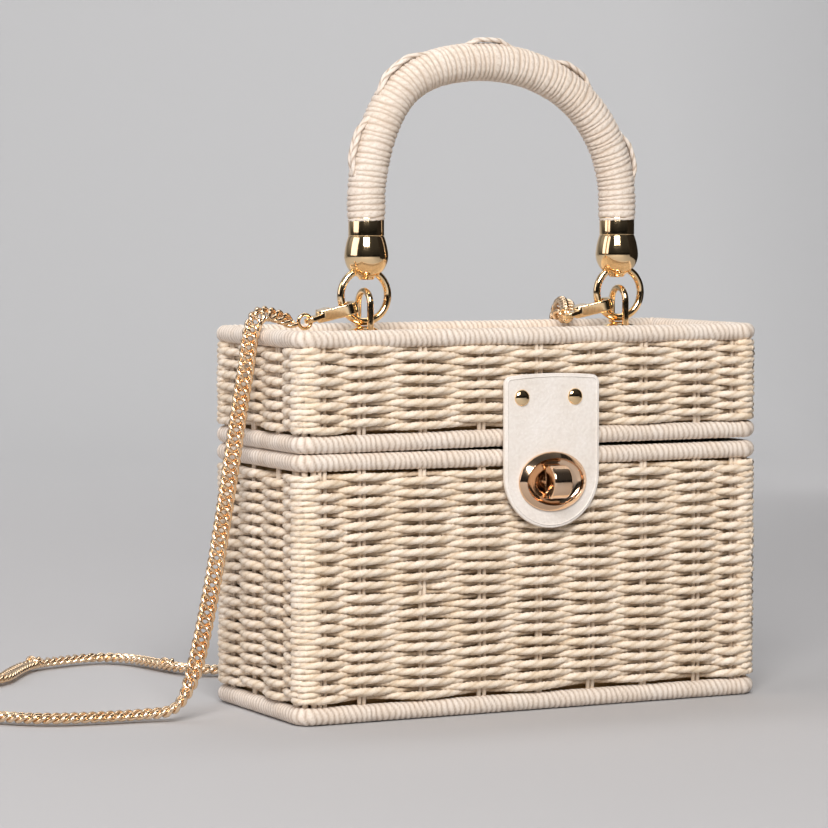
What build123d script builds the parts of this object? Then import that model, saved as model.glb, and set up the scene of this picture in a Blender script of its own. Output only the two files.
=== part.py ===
from build123d import *
import math
import os

os.makedirs("parts", exist_ok=True)

# Overall body, in millimetres. Origin on the floor under the middle of the body.
body_width = 220.0
body_depth = 90.0
corner_radius = 8.0

# Cord-wrapped rims: a tube of twelve flats round the rounded oblong plan
rim_radius = 3.7
rim_flats = 12
basket_rim_level = 107.0
rim_gap = 0.6
lid_height = 49.8

# Woven walls
weave_inset = 0.4
weave_thickness = 4.2
weave_relief = 0.8
rim_to_weave = 1.4
basket_rows = 36
lid_rows = 14
front_shares = (-0.363, -0.236, -0.111, 0.0115, 0.125, 0.241, 0.361)
side_shares = (-0.2, 0.078, 0.328)
gap_width = 7.0
gap_height = 1.3
stake_width = 3.0
stake_depth = 2.4

# Woven bottom and top panels
panel_thickness = 2.8
panel_pitch = 3.0
panel_relief = 0.6
panel_recess = 3.5
floor_thickness = 3.6

# Cloth linings
lining_inset = 7.7
lining_thickness = 0.8
lining_corner = 2.0
seat_gap = 0.3

# Hinge lashings of cord round both rear rims
lashing_from_side = 32.0
lashing_width = 9.0
lashing_clearance = 0.3
lashing_thickness = 1.9
window_side = 0.8
window_reach = 8.0

# Leather tab
tab_offset = 5.5
tab_width = 45.0
tab_top_drop = 20.1
tab_below_lock = 19.6
tab_thickness = 2.0
tab_standoff = 0.9
tab_top_corner = 5.0
rivet_spacing = 25.7
rivet_drop = 10.0
rivet_head = 6.6
rivet_dome = 1.6
rivet_shank = 2.4
rivet_flare = 6.0
rivet_flare_thickness = 0.8

# Turn lock
lock_drop = 10.4
bezel_width = 32.0
bezel_height = 25.0
bezel_thickness = 3.0
bezel_edge = 1.1
recess_width = 27.0
recess_height = 20.0
recess_floor_width = 21.5
recess_floor_height = 15.8
recess_depth = 2.1
slot_width = 16.4
slot_height = 10.4
collar_wall = 2.0
backing_thickness = 0.7
backing_margin = 1.0
base_width = 19.5
base_height = 12.6
base_thickness = 0.9
prong_spacing = 14.0
prong_size = 1.8
prong_clearance = 0.15
inner_plate_thickness = 0.8
knob_width = 8.6
knob_height = 14.0
knob_reach = 9.2
knob_stem = 5.6
knob_clearance = 0.4

# Handle
handle_half_span = 60.6
handle_shift = 2.9
handle_radius = 8.2
handle_leg = 8.0
grip_start_rise = 47.4

# Rings, staples and ferrules
ring_offset = 1.0
ring_radius = 10.9
ring_wire = 3.2
ring_foot_rise = 5.4
staple_width = 12.0
staple_wire = 2.8
staple_rise = 18.4
staple_clearance = 0.2
washer_radius = 8.6
washer_thickness = 1.1
washer_flat_radius = 2.6
backing_washer_radius = 6.0
ferrule_bulb_radius = 9.35
ferrule_collar_radius = 7.55
ferrule_bottom_rise = 23.0
ferrule_bulb_height = 18.4
ferrule_collar_height = 8.0
ferrule_wall = 1.0
eye_clearance = 0.55
handle_swing_cut = 22.0

# Strap clasps
clasp_hook_rise = 5.0
clasp_tilt = 14.0
clasp_thickness = 5.0
clasp_nose_radius = 5.7
clasp_nose_reach = 0.6
clasp_side_shift = 1.5
clasp_neck = 10.0
clasp_neck_radius = 2.4
clasp_eye_reach = 16.0
clasp_eye_radius = 2.9
clasp_eye_hole = 1.5
clasp_eye_thickness = 2.2
clasp_opening_nose = 4.1
clasp_opening_tail = 6.3
clasp_arm_gap = 2.1
clasp_opening_side = 5.1
lever_thickness = 2.8
lever_width = 1.7
lever_tip_reach = 2.7
lever_pivot_reach = 7.6
lever_pivot_side = 5.4
lever_eye = 1.9
lever_pin = 0.7
lever_clearance = 0.25
jump_ring_radius = 2.9
jump_ring_wire = 1.5

# Chain strap
chain_width = 5.5

# Worked-out levels
half_width = body_width / 2
half_depth = body_depth / 2
lid_rim_level = basket_rim_level + 2 * rim_radius + rim_gap
lid_top_level = lid_rim_level - rim_radius + lid_height
top_rim_level = lid_top_level - rim_radius
rim_inset = 2 * rim_radius
corner_x = half_width - corner_radius
corner_y = half_depth - corner_radius
weave_outer = half_depth - weave_inset
weave_inner = weave_outer - weave_thickness
hinge_y = half_depth - rim_radius
tab_inner_y = -half_depth - tab_standoff
tab_outer_y = tab_inner_y - tab_thickness
panel_top_level = lid_top_level - panel_recess
panel_under_level = panel_top_level - panel_thickness
front_columns = [share * body_width for share in front_shares]
side_columns = [share * body_depth for share in side_shares]
lashing_x = half_width - lashing_from_side
tab_top_level = lid_top_level - tab_top_drop
rivet_level = tab_top_level - rivet_drop
lock_level = basket_rim_level - lock_drop
tab_round_level = lock_level - tab_below_lock + tab_width / 2
ring_foot_level = panel_top_level + ring_foot_rise
staple_top_level = panel_top_level + staple_rise
ferrule_bottom_level = panel_top_level + ferrule_bottom_rise
ferrule_neck_level = ferrule_bottom_level + ferrule_bulb_height
ferrule_top_level = ferrule_neck_level + ferrule_collar_height
grip_start_level = panel_top_level + grip_start_rise


def save(node, shapes):
    """Write one sub-part, a single solid or a group of like solids."""
    shapes = list(shapes)
    whole = shapes[0] if len(shapes) == 1 else Compound(children=shapes)
    export_step(whole, f"parts/{node}.step")


def solid_of(shape):
    """The single solid of a built shape."""
    return shape.solids()[0]


def box_between(low, high):
    """A box from its lowest to its highest corner."""
    size = [high[i] - low[i] for i in range(3)]
    middle = [(high[i] + low[i]) / 2 for i in range(3)]
    return Pos(*middle) * Box(*size)


def oval(width, height, y, depth, x=0.0, z=0.0):
    """An oval plate facing the front, from y towards the back by depth."""
    face = Plane((x, y, z), x_dir=(1, 0, 0), z_dir=(0, 1, 0)) * Ellipse(width / 2, height / 2)
    return extrude(face, depth)


def rod(start, end, radius):
    """A round rod between two points."""
    axis = Vector(*end) - Vector(*start)
    return extrude(Plane(origin=start, z_dir=axis) * Circle(radius), axis.length)


# Rims

def rim(level):
    """A rim ring of twelve flats, swept round the rounded oblong plan."""
    plan = RectangleRounded(
        body_width - 2 * rim_radius, body_depth - 2 * rim_radius, corner_radius - rim_radius
    )
    path = Pos(0, 0, level) * plan.wire()
    start = path @ 0
    frame = Plane(origin=start, x_dir=(0, 0, 1), z_dir=path % 0)
    section = frame * RegularPolygon(rim_radius, rim_flats, major_radius=False, rotation=180 / rim_flats)
    return solid_of(sweep(section, path=path))


# Woven walls

def ridged_slab(length, low, high, rows):
    """A wall slab along X facing the front, with one ridge for each weft row."""
    pitch = (high - low) / rows
    outline = [(-weave_inner, low)]
    for row in range(rows):
        foot = low + row * pitch
        outline.append((-weave_outer + weave_relief, foot))
        outline.append((-weave_outer, foot + 0.27 * pitch))
        outline.append((-weave_outer, foot + 0.73 * pitch))
    outline.append((-weave_outer + weave_relief, high))
    outline.append((-weave_inner, high))
    face = Plane.YZ * make_face(Polyline(*outline, close=True).edges())
    return extrude(face, length / 2, both=True)


def wall(length, low_rim, high_rim, rows, columns):
    """One woven wall: weft ridges, gaps beside the stakes, and stakes up to both rims."""
    low = low_rim + rim_radius
    high = high_rim - rim_radius
    weave_low = low + rim_to_weave
    weave_high = high - rim_to_weave
    pitch = (weave_high - weave_low) / rows
    slab = ridged_slab(length, weave_low, weave_high, rows)
    gaps = []
    for index, x in enumerate(columns):
        for row in range(1, rows - 1):
            if (row + index) % 2:
                middle = weave_low + (row + 0.5) * pitch
                gaps.append(
                    Pos(x, -weave_outer + weave_thickness / 2, middle)
                    * Box(gap_width, 2 * weave_thickness, gap_height)
                )
    slab = slab - gaps
    stake_y = -weave_outer + weave_thickness / 2
    for x in columns:
        for foot, top in ((low, weave_low), (weave_high, high)):
            slab = slab + box_between(
                (x - stake_width / 2, stake_y - stake_depth / 2, foot),
                (x + stake_width / 2, stake_y + stake_depth / 2, top),
            )
    return slab


def corner_post(low_rim, high_rim):
    """The quarter-round woven corner that stands between two rims."""
    outer = corner_radius - weave_inset
    ring = Circle(outer) - Circle(outer - weave_thickness)
    quarter = ring & (Pos(outer / 2, outer / 2) * Rectangle(outer, outer))
    height = high_rim - low_rim - 2 * rim_radius
    return Pos(0, 0, low_rim + rim_radius) * extrude(quarter, height)


def four_corners(low_rim, high_rim):
    """Corner posts at the four corners of the plan."""
    post = corner_post(low_rim, high_rim)
    places = ((1, 1, 0), (-1, 1, 90), (-1, -1, 180), (1, -1, 270))
    return [solid_of(Pos(sx * corner_x, sy * corner_y, 0) * Rot(0, 0, turn) * post) for sx, sy, turn in places]


def side_wall(shape, side):
    """Turn a front-facing wall to face the left (-1) or the right (1)."""
    shift = half_width - half_depth
    return Pos(side * shift, 0, 0) * Rot(0, 0, side * 90) * shape


def hinge_windows(low, high):
    """Cuts in a rear wall where the hinge lashings pass."""
    width = lashing_width + 2 * window_side
    for_sides = []
    for side in (-1, 1):
        x = side * lashing_x
        for_sides.append(
            box_between((x - width / 2, weave_inner - 1, low), (x + width / 2, half_depth + 1, high))
        )
    return for_sides


def walls(prefix, low_rim, high_rim, rows, window, front_holes):
    """The four woven walls and the corner posts of the basket or the lid."""
    long_wall = 2 * corner_x
    short_wall = 2 * corner_y
    front = wall(long_wall, low_rim, high_rim, rows, front_columns)
    back_columns = [-x for x in front_columns]
    back = Rot(0, 0, 180) * wall(long_wall, low_rim, high_rim, rows, back_columns)
    left_columns = [-y for y in side_columns]
    left = side_wall(wall(short_wall, low_rim, high_rim, rows, left_columns), -1)
    right = side_wall(wall(short_wall, low_rim, high_rim, rows, side_columns), 1)
    save(f"{prefix}_front_weave", [solid_of(front - front_holes)])
    save(f"{prefix}_back_weave", [solid_of(back - hinge_windows(*window))])
    save(f"{prefix}_left_weave", [solid_of(left)])
    save(f"{prefix}_right_weave", [solid_of(right)])
    save(f"{prefix}_corner_posts", four_corners(low_rim, high_rim))


def ridged_panel(low, thickness, ridges_up):
    """A woven panel inside a rim, with ridges along X on its outer face."""
    half_x = half_width - rim_inset
    half_y = half_depth - rim_inset
    rows = round(2 * half_y / panel_pitch)
    pitch = 2 * half_y / rows
    outline = [(half_y, 0.0), (-half_y, 0.0)]
    for row in range(rows):
        foot = -half_y + row * pitch
        outline.append((foot, thickness - panel_relief))
        outline.append((foot + 0.27 * pitch, thickness))
        outline.append((foot + 0.73 * pitch, thickness))
    outline.append((half_y, thickness - panel_relief))
    face = Plane.YZ * make_face(Polyline(*outline, close=True).edges())
    slab = extrude(face, half_x, both=True)
    inner_radius = corner_radius - rim_inset
    plan = extrude(RectangleRounded(2 * half_x, 2 * half_y, inner_radius), thickness)
    panel = slab & plan
    if not ridges_up:
        panel = Pos(0, 0, thickness) * Rot(180, 0, 0) * panel
    return Pos(0, 0, low) * panel


def lining(low, high, open_top):
    """A thin cloth box with a floor, or with a roof when it hangs mouth down."""
    width = body_width - 2 * lining_inset
    depth = body_depth - 2 * lining_inset
    outer = extrude(RectangleRounded(width, depth, lining_corner), high - low)
    inner = extrude(
        RectangleRounded(
            width - 2 * lining_thickness, depth - 2 * lining_thickness, lining_corner - lining_thickness
        ),
        high - low,
    )
    shift = lining_thickness if open_top else -lining_thickness
    return Pos(0, 0, low) * (outer - Pos(0, 0, shift) * inner)


def lashing(x):
    """A stadium-shaped loop of cord round the basket rim and the lid rim above it."""
    inner = rim_radius / math.cos(math.pi / rim_flats) + lashing_clearance
    outer = inner + lashing_thickness
    rise = lid_rim_level - basket_rim_level
    frame = Plane((x - lashing_width / 2, hinge_y, (lid_rim_level + basket_rim_level) / 2), (0, 0, 1), (1, 0, 0))
    loop = SlotCenterToCenter(rise, 2 * outer) - SlotCenterToCenter(rise, 2 * inner)
    return solid_of(extrude(frame * loop, lashing_width))


# Lock tab and rivets

def tab_plate(inset, y, depth):
    """The leather tab's outline, square shoulders above and a full round below."""
    width = tab_width - 2 * inset
    round_level = tab_round_level
    frame = Plane((tab_offset, y, 0), x_dir=(1, 0, 0), z_dir=(0, 1, 0))
    top = tab_top_level - inset
    # The frame's own Y runs downwards, so levels are negative on it.
    body = Pos(0, -(top + round_level) / 2) * Rectangle(width, top - round_level)
    shoulders = body.vertices().sort_by(Axis.Y)[:2]
    body = fillet(shoulders, tab_top_corner)
    foot = Pos(0, -round_level) * Circle(width / 2)
    return extrude(frame * (body + foot), depth)


def rivet_places():
    """The two rivet centres along X."""
    return [tab_offset - rivet_spacing / 2, tab_offset + rivet_spacing / 2]


def rivet(x):
    """A domed rivet through the tab and the lid wall, flared on the inside."""
    head = rivet_head / 2
    shank = rivet_shank / 2
    flare = rivet_flare / 2
    seat = tab_outer_y
    inside = -weave_inner
    end = inside + rivet_flare_thickness
    outline = Wire(
        [
            ThreePointArc((0, seat - rivet_dome), (0.62 * head, seat - 0.74 * rivet_dome), (head, seat)),
            Line((head, seat), (shank, seat)),
            Line((shank, seat), (shank, inside)),
            Line((shank, inside), (flare, inside)),
            Line((flare, inside), (flare, end)),
            Line((flare, end), (0, end)),
            Line((0, end), (0, seat - rivet_dome)),
        ]
    )
    turned = revolve(make_face(outline), Axis.Y)
    return solid_of(Pos(x, 0, rivet_level) * turned)


def rivet_holes(clearance):
    """Cuts for the rivet shanks through the tab or the wall."""
    radius = rivet_shank / 2 + clearance
    return [rod((x, tab_outer_y - 1, rivet_level), (x, -weave_inner + 1, rivet_level), radius) for x in rivet_places()]


# Turn lock

def lock_tab():
    """Pebbled leather tab with its lock opening and rivet holes."""
    plate = tab_plate(0, tab_outer_y, tab_thickness)
    opening = oval(
        slot_width + 2 * collar_wall, slot_height + 2 * collar_wall, tab_outer_y - 1, tab_thickness + 2,
        tab_offset, lock_level,
    )
    return solid_of(plate - opening - rivet_holes(0.0))


def lock_bezel():
    """Oval bezel with a sloped recess, a floor with the slot, and a collar through the tab."""
    front = tab_outer_y - bezel_thickness
    flange = oval(bezel_width, bezel_height, front, bezel_thickness, tab_offset, lock_level)
    flange = chamfer(flange.faces().sort_by(Axis.Y)[0].edges(), bezel_edge)
    mouth = Plane((tab_offset, front, lock_level), x_dir=(1, 0, 0), z_dir=(0, 1, 0))
    floor = Plane((tab_offset, front + recess_depth, lock_level), x_dir=(1, 0, 0), z_dir=(0, 1, 0))
    recess = loft(
        [mouth * Ellipse(recess_width / 2, recess_height / 2),
         floor * Ellipse(recess_floor_width / 2, recess_floor_height / 2)]
    )
    collar = oval(
        slot_width + 2 * collar_wall, slot_height + 2 * collar_wall, tab_outer_y, tab_thickness,
        tab_offset, lock_level,
    )
    bore = extrude(mouth * SlotOverall(slot_width, slot_height), bezel_thickness + tab_thickness)
    return solid_of(flange + collar - recess - bore)


def backing_plate():
    """Oval plate behind the tab that the bezel's collar is clinched to."""
    width = slot_width + 2 * collar_wall + 2 * backing_margin + 5
    height = slot_height + 2 * collar_wall + 2 * backing_margin + 5
    plate = oval(width, height, tab_inner_y, backing_thickness, tab_offset, lock_level)
    hole = oval(
        base_width + 2 * seat_gap, base_height + 2 * seat_gap, tab_inner_y, backing_thickness,
        tab_offset, lock_level,
    )
    return solid_of(plate - hole)


def prong_places():
    """The two prong centres of the lock base along X."""
    return [tab_offset - prong_spacing / 2, tab_offset + prong_spacing / 2]


def lock_base():
    """Base plate on the basket wall, with two prongs through the weave."""
    front = -weave_outer - base_thickness
    plate = oval(base_width, base_height, front, base_thickness, tab_offset, lock_level)
    for x in prong_places():
        plate = plate + rod(
            (x, -weave_outer, lock_level), (x, -weave_inner + inner_plate_thickness, lock_level), prong_size / 2
        )
    stem_hole = rod(
        (tab_offset, front - 1, lock_level), (tab_offset, -weave_outer, lock_level),
        knob_stem / 2 + seat_gap / 2,
    )
    return solid_of(plate - stem_hole)


def prong_cuts(clearance):
    """Cuts for the lock base's prongs."""
    return [
        rod((x, -half_depth, lock_level), (x, -weave_inner + 3, lock_level), prong_size / 2 + clearance)
        for x in prong_places()
    ]


def inner_lock_plate():
    """Plate inside the basket wall that the prongs are bent over."""
    plate = oval(base_width, base_height, -weave_inner, inner_plate_thickness, tab_offset, lock_level)
    return solid_of(plate - prong_cuts(0.0))


def lock_knob():
    """Turning bar on a stem: tall and narrow, with rounded ends and crown."""
    floor_front = tab_outer_y - bezel_thickness + recess_depth
    foot = floor_front - knob_clearance
    stem = rod((tab_offset, -weave_outer - 0.1, lock_level), (tab_offset, foot, lock_level), knob_stem / 2)
    side = Plane((tab_offset, 0, lock_level), x_dir=(0, 1, 0), z_dir=(1, 0, 0))
    tip = foot - knob_reach
    half = knob_height / 2
    shoulder = foot - 0.45 * knob_reach
    profile = make_face(
        Wire(
            [
                Line((foot, -0.8 * half), (foot, 0.8 * half)),
                Line((foot, 0.8 * half), (foot - 1.2, half)),
                Line((foot - 1.2, half), (shoulder, half)),
                ThreePointArc((shoulder, half), (tip, 0), (shoulder, -half)),
                Line((shoulder, -half), (foot - 1.2, -half)),
                Line((foot - 1.2, -half), (foot, -0.8 * half)),
            ]
        )
    )
    bar = extrude(side * profile, knob_width / 2, both=True)
    bar = fillet(bar.faces().sort_by(Axis.X)[0].edges() + bar.faces().sort_by(Axis.X)[-1].edges(), 1.0)
    return solid_of(bar + stem)


# Handle, rings and staples

def ring_centre(side):
    """Centre of the ring on one side of the lid."""
    return (handle_shift + side * (handle_half_span + ring_offset), 0.0, ring_foot_level + ring_radius)


def ring(side):
    """A round wire ring standing across the lid, through its staple and its ferrule."""
    frame = Plane(ring_centre(side), x_dir=(1, 0, 0), z_dir=(0, 1, 0))
    return solid_of(frame * Torus(ring_radius, ring_wire / 2))


def staple_path(side):
    """Legs and arch of a staple, in the plane across the ring's foot."""
    x = ring_centre(side)[0]
    half = staple_width / 2
    foot = panel_under_level - washer_thickness
    arch = staple_top_level - half
    return Wire(
        [
            Line((x, -half, foot), (x, -half, arch)),
            ThreePointArc((x, -half, arch), (x, 0, staple_top_level), (x, half, arch)),
            Line((x, half, arch), (x, half, foot)),
        ]
    )


def staple(side):
    """The wire loop that holds a ring on the lid, legs through the woven top."""
    path = staple_path(side)
    section = Plane(origin=path @ 0, z_dir=path % 0) * Circle(staple_wire / 2)
    return solid_of(sweep(section, path=path))


def leg_cuts(side, clearance):
    """Cuts for a staple's two legs."""
    x = ring_centre(side)[0]
    radius = staple_wire / 2 + clearance
    return [
        rod((x, y, panel_under_level - 5), (x, y, panel_top_level + 4), radius)
        for y in (-staple_width / 2, staple_width / 2)
    ]


def backing_washer(side):
    """A flat washer under the woven top that both legs of a staple pass through."""
    x = ring_centre(side)[0]
    disc = rod((x, 0, panel_under_level - washer_thickness), (x, 0, panel_under_level), backing_washer_radius)
    return solid_of(disc - leg_cuts(side, 0.0))


def domed_washer(side):
    """A domed washer on the woven top, with the ring's foot just above its crown."""
    crown = ring_foot_level - ring_wire / 2 - seat_gap
    edge = panel_top_level + washer_thickness
    outline = Wire(
        [
            Line((0, panel_top_level), (washer_radius, panel_top_level)),
            Line((washer_radius, panel_top_level), (washer_radius, edge)),
            ThreePointArc(
                (washer_radius, edge),
                ((washer_radius + washer_flat_radius) / 2, crown - 0.3 * (crown - edge)),
                (washer_flat_radius, crown),
            ),
            Line((washer_flat_radius, crown), (0, crown)),
            Line((0, crown), (0, panel_top_level)),
        ]
    )
    turned = revolve(Plane.XZ * make_face(outline), Axis.Z)
    return solid_of(Pos(ring_centre(side)[0], 0, 0) * turned - leg_cuts(side, 0.0))


def ferrule(side):
    """A turned cap: open collar for the grip above, bulb with the ring's eye below."""
    x = handle_shift + side * handle_half_span
    bulb_level = (ferrule_bottom_level + ferrule_neck_level) / 2
    collar = ferrule_collar_radius
    outline = Wire(
        [
            Line((0, ferrule_bottom_level), (3.0, ferrule_bottom_level)),
            Line((3.0, ferrule_bottom_level), (3.6, ferrule_bottom_level + 1.0)),
            ThreePointArc(
                (3.6, ferrule_bottom_level + 1.0),
                (ferrule_bulb_radius - 1.4, bulb_level - 4.2),
                (ferrule_bulb_radius, bulb_level + 0.8),
            ),
            ThreePointArc(
                (ferrule_bulb_radius, bulb_level + 0.8),
                (ferrule_bulb_radius - 0.5, bulb_level + 4.6),
                (collar, ferrule_neck_level),
            ),
            Line((collar, ferrule_neck_level), (collar, ferrule_top_level)),
            Line((collar, ferrule_top_level), (collar - ferrule_wall, ferrule_top_level)),
            Line((collar - ferrule_wall, ferrule_top_level), (collar - ferrule_wall, ferrule_neck_level)),
            Line((collar - ferrule_wall, ferrule_neck_level), (0, ferrule_neck_level)),
            Line((0, ferrule_neck_level), (0, ferrule_bottom_level)),
        ]
    )
    body = Pos(x, 0, 0) * revolve(Plane.XZ * make_face(outline), Axis.Z)
    eye_x, _, ring_level = ring_centre(side)
    eye_level = ring_level + ring_radius
    eyes = []
    for turn in (-handle_swing_cut, 0.0, handle_swing_cut):
        eye = Plane((0, 0, -ring_radius), x_dir=(1, 0, 0), z_dir=(0, 1, 0)) * Torus(
            ring_radius, ring_wire / 2 + eye_clearance
        )
        eyes.append(Pos(eye_x, 0, eye_level) * Rot(turn, 0, 0) * eye)
    return solid_of(body - eyes)


def grip_path():
    """Straight legs and the round arch of the handle."""
    x = handle_half_span
    spring = grip_start_level + handle_leg
    return Wire(
        [
            Line((-x, 0, grip_start_level), (-x, 0, spring)),
            ThreePointArc((-x, 0, spring), (0, 0, spring + x), (x, 0, spring)),
            Line((x, 0, spring), (x, 0, grip_start_level)),
        ]
    )


def grip():
    """Cord-wrapped grip with a spigot seated in each ferrule."""
    path = grip_path()
    section = Plane(origin=path @ 0, z_dir=path % 0) * Circle(handle_radius)
    tube = sweep(section, path=path)
    spigot = ferrule_collar_radius - ferrule_wall
    for side in (-1, 1):
        x = side * handle_half_span
        tube = tube + rod((x, 0, ferrule_neck_level), (x, 0, grip_start_level + 0.5), spigot)
        tube = tube - (
            Pos(x, 0, (grip_start_level + ferrule_top_level) / 2)
            * (Cylinder(handle_radius + 1, ferrule_top_level - grip_start_level)
               - Cylinder(spigot, ferrule_top_level - grip_start_level))
        )
    return solid_of(Pos(handle_shift, 0, 0) * tube)


# Strap clasps: drawn flat with the ring wire at the origin and the tail along +X

def clasp_frame(side):
    """Where a clasp hooks its ring, tilted down towards its tail."""
    x, _, level = ring_centre(side)
    drop = ring_radius - clasp_hook_rise
    reach = math.sqrt(ring_radius ** 2 - drop ** 2)
    return Pos(x - reach, 0, level - drop) * Rot(0, -clasp_tilt, 180)


def clasp_flat(x_low, x_high, y_low, y_high, thickness):
    """A flat block in the clasp's own frame."""
    return box_between((x_low, y_low, -thickness / 2), (x_high, y_high, thickness / 2))


def clasp_body():
    """Cast lobster body with a hook opening, a gate gap, a lever slot and an eye."""
    nose = Pos(-clasp_nose_reach, -clasp_side_shift) * Circle(clasp_nose_radius)
    neck = Pos(clasp_neck, -clasp_side_shift) * Circle(clasp_neck_radius)
    eye = Pos(clasp_eye_reach, 0) * Circle(clasp_eye_radius)
    body = extrude(make_hull((nose + neck).edges()), clasp_thickness / 2, both=True)
    body = body + extrude(make_hull((neck + eye).edges()), clasp_eye_thickness / 2, both=True)
    body = body - clasp_flat(
        -clasp_opening_nose, clasp_opening_tail, -clasp_opening_side, clasp_arm_gap, 2 * clasp_thickness
    )
    gate = clasp_flat(
        -lever_tip_reach - lever_clearance, lever_pivot_reach + lever_eye + 0.6,
        -clasp_side_shift - clasp_nose_radius - 1, -clasp_opening_side + 1, 2 * clasp_thickness,
    )
    cheeks = clasp_flat(
        lever_pivot_reach - lever_eye - 0.6, lever_pivot_reach + lever_eye + 0.6,
        -lever_pivot_side - lever_eye, -lever_pivot_side + lever_eye + 0.6, clasp_thickness,
    )
    slot = clasp_flat(
        -2 * clasp_nose_radius, lever_pivot_reach + lever_eye + 0.8,
        -2 * clasp_nose_radius, -lever_pivot_side + lever_eye + 0.4, lever_thickness + 0.4,
    )
    keep_nose = clasp_flat(
        -2 * clasp_nose_radius, -lever_tip_reach - lever_clearance, -2 * clasp_nose_radius, 0, clasp_thickness
    )
    body = body - gate + cheeks - (slot - keep_nose)
    pin = Pos(lever_pivot_reach, -lever_pivot_side, 0) * Cylinder(lever_pin, clasp_thickness)
    hole = Pos(clasp_eye_reach, 0, 0) * Cylinder(clasp_eye_hole, 2 * clasp_thickness)
    return body + pin - hole


def clasp_lever():
    """Sprung gate of a clasp: a straight bar, a round eye on the pin and a thumb piece."""
    bar = clasp_flat(
        -lever_tip_reach, lever_pivot_reach, -lever_pivot_side - lever_width / 2,
        -lever_pivot_side + lever_width / 2, lever_thickness,
    )
    eye = Pos(lever_pivot_reach, -lever_pivot_side, 0) * Cylinder(lever_eye, lever_thickness)
    thumb = Pos(lever_pivot_reach - 4.6, -lever_pivot_side - lever_width / 2 - 0.6, 0) * Box(2.2, 2.4, lever_thickness)
    hole = Pos(lever_pivot_reach, -lever_pivot_side, 0) * Cylinder(lever_pin + 0.15, 2 * lever_thickness)
    return bar + eye + thumb - hole


def jump_ring(turned_back):
    """Round wire ring through the clasp's eye, in line with the clasp or turned to the back."""
    wire_ring = Torus(jump_ring_radius, jump_ring_wire / 2)
    if turned_back:
        return Pos(clasp_eye_reach, -jump_ring_radius, 0) * Rot(0, 90, 0) * wire_ring
    return Pos(clasp_eye_reach + jump_ring_radius, 0, 0) * Rot(90, 0, 0) * wire_ring


# Chain strap, plain along its whole route from the left clasp to the right one

over_left_rim = [(8.8, -1.0, 5.8), (0.4, -4.5, 6.3), (-4.3, -7.0, -1.9), (-6.2, -7.8, -15.0), (-9.2, -8.0, -30.0)]
down_left_side = [
    (-13.5, -8.0, 104.0), (-17.6, -8.0, 80.0), (-22.0, -8.2, 56.0), (-27.0, -8.0, 33.0), (-31.5, -7.6, 15.5),
    (-37.5, -6.5, 4.8),
]
out_on_floor = [
    (-48.5, -2.0), (-65.0, 8.5), (-84.0, 21.0), (-102.0, 35.0), (-119.0, 53.0), (-130.0, 74.0), (-133.0, 98.0),
    (-124.0, 121.0), (-103.0, 138.0), (-76.0, 148.0), (-54.0, 160.0), (-40.0, 180.0), (-23.0, 184.0),
]
behind_on_floor = [
    (-181.5, 123.0), (-163.5, 115.0), (-146.5, 109.0), (-137.5, 85.0), (-121.5, 57.0), (-91.5, 39.0), (-57.5, 35.0),
    (-29.5, 26.0),
]
up_the_back = [
    (-10.0, 14.5, 6.0), (-4.0, 6.5, 20.0), (-2.6, 4.3, 44.0), (-2.2, 4.9, 66.0), (-2.4, 4.5, 88.0), (-2.2, 4.8, 112.0)
]
over_rear_rim = [(-2.5, 4.4, -20.1), (-2.2, 5.1, -9.1), (-2.6, 4.1, 2.5), (-3.6, -3.5, 8.3), (-6.8, -13.5, 6.5)]
to_right_clasp = [(-13.0, 20.5, 2.3), (-21.4, 14.2, 1.5), (-23.7, 7.1, 2.9)]
strap_floor_level = 2.9
right_side = handle_shift + handle_half_span
strap_start = (handle_shift - handle_half_span - 33.7, 0.0, lid_top_level + 1.8)
strap_route = (
    [strap_start]
    + [(x - half_width, y, z + lid_top_level) for x, y, z in over_left_rim]
    + [(x - half_width, y, z) for x, y, z in down_left_side]
    + [(x - half_width, y, strap_floor_level) for x, y in out_on_floor]
    + [(x + right_side, y + half_depth, strap_floor_level) for x, y in behind_on_floor]
    + [(x + right_side, y + half_depth, z) for x, y, z in up_the_back]
    + [(x + right_side, y + half_depth, z + lid_top_level) for x, y, z in over_rear_rim]
    + [(x + right_side, y, z + lid_top_level) for x, y, z in to_right_clasp]
)
left_cut_run = 5
low_cut_run = 37
high_cut_run = 38


def gentle_radius(before, corner, after):
    """The largest radius that a corner of the route takes."""
    first = Vector(*corner) - Vector(*before)
    second = Vector(*after) - Vector(*corner)
    turn = math.radians(first.get_angle(second))
    return 0.45 * min(first.length, second.length) / math.tan(turn / 2)


strap_radii = [gentle_radius(*three) for three in zip(strap_route, strap_route[1:], strap_route[2:])]


def run_middle(run):
    """The middle of one straight run of the route."""
    return tuple((a + b) / 2 for a, b in zip(strap_route[run], strap_route[run + 1]))


def strap(name, first_run, last_run):
    """A plain tube from the middle of one run to the middle of another, or to the route's ends."""
    start = strap_route[0] if first_run is None else run_middle(first_run)
    end = strap_route[-1] if last_run is None else run_middle(last_run)
    first_corner = 1 if first_run is None else first_run + 1
    last_corner = len(strap_route) - 2 if last_run is None else last_run
    points = [start] + strap_route[first_corner : last_corner + 1] + [end]
    radii = strap_radii[first_corner - 1 : last_corner]
    path = FilletPolyline(*points, radius=radii).wire()
    section = Plane(origin=path @ 0, z_dir=path % 0) * Circle(chain_width / 2)
    tube = solid_of(sweep(section, path=path))
    expected = math.pi * (chain_width / 2) ** 2 * path.length
    print(name, "smallest radius", round(min(radii), 1), "length", round(path.length, 1))
    print(name, "volume share", round(tube.volume / expected, 4))
    save(name, [tube])


# Build every sub-part

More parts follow.
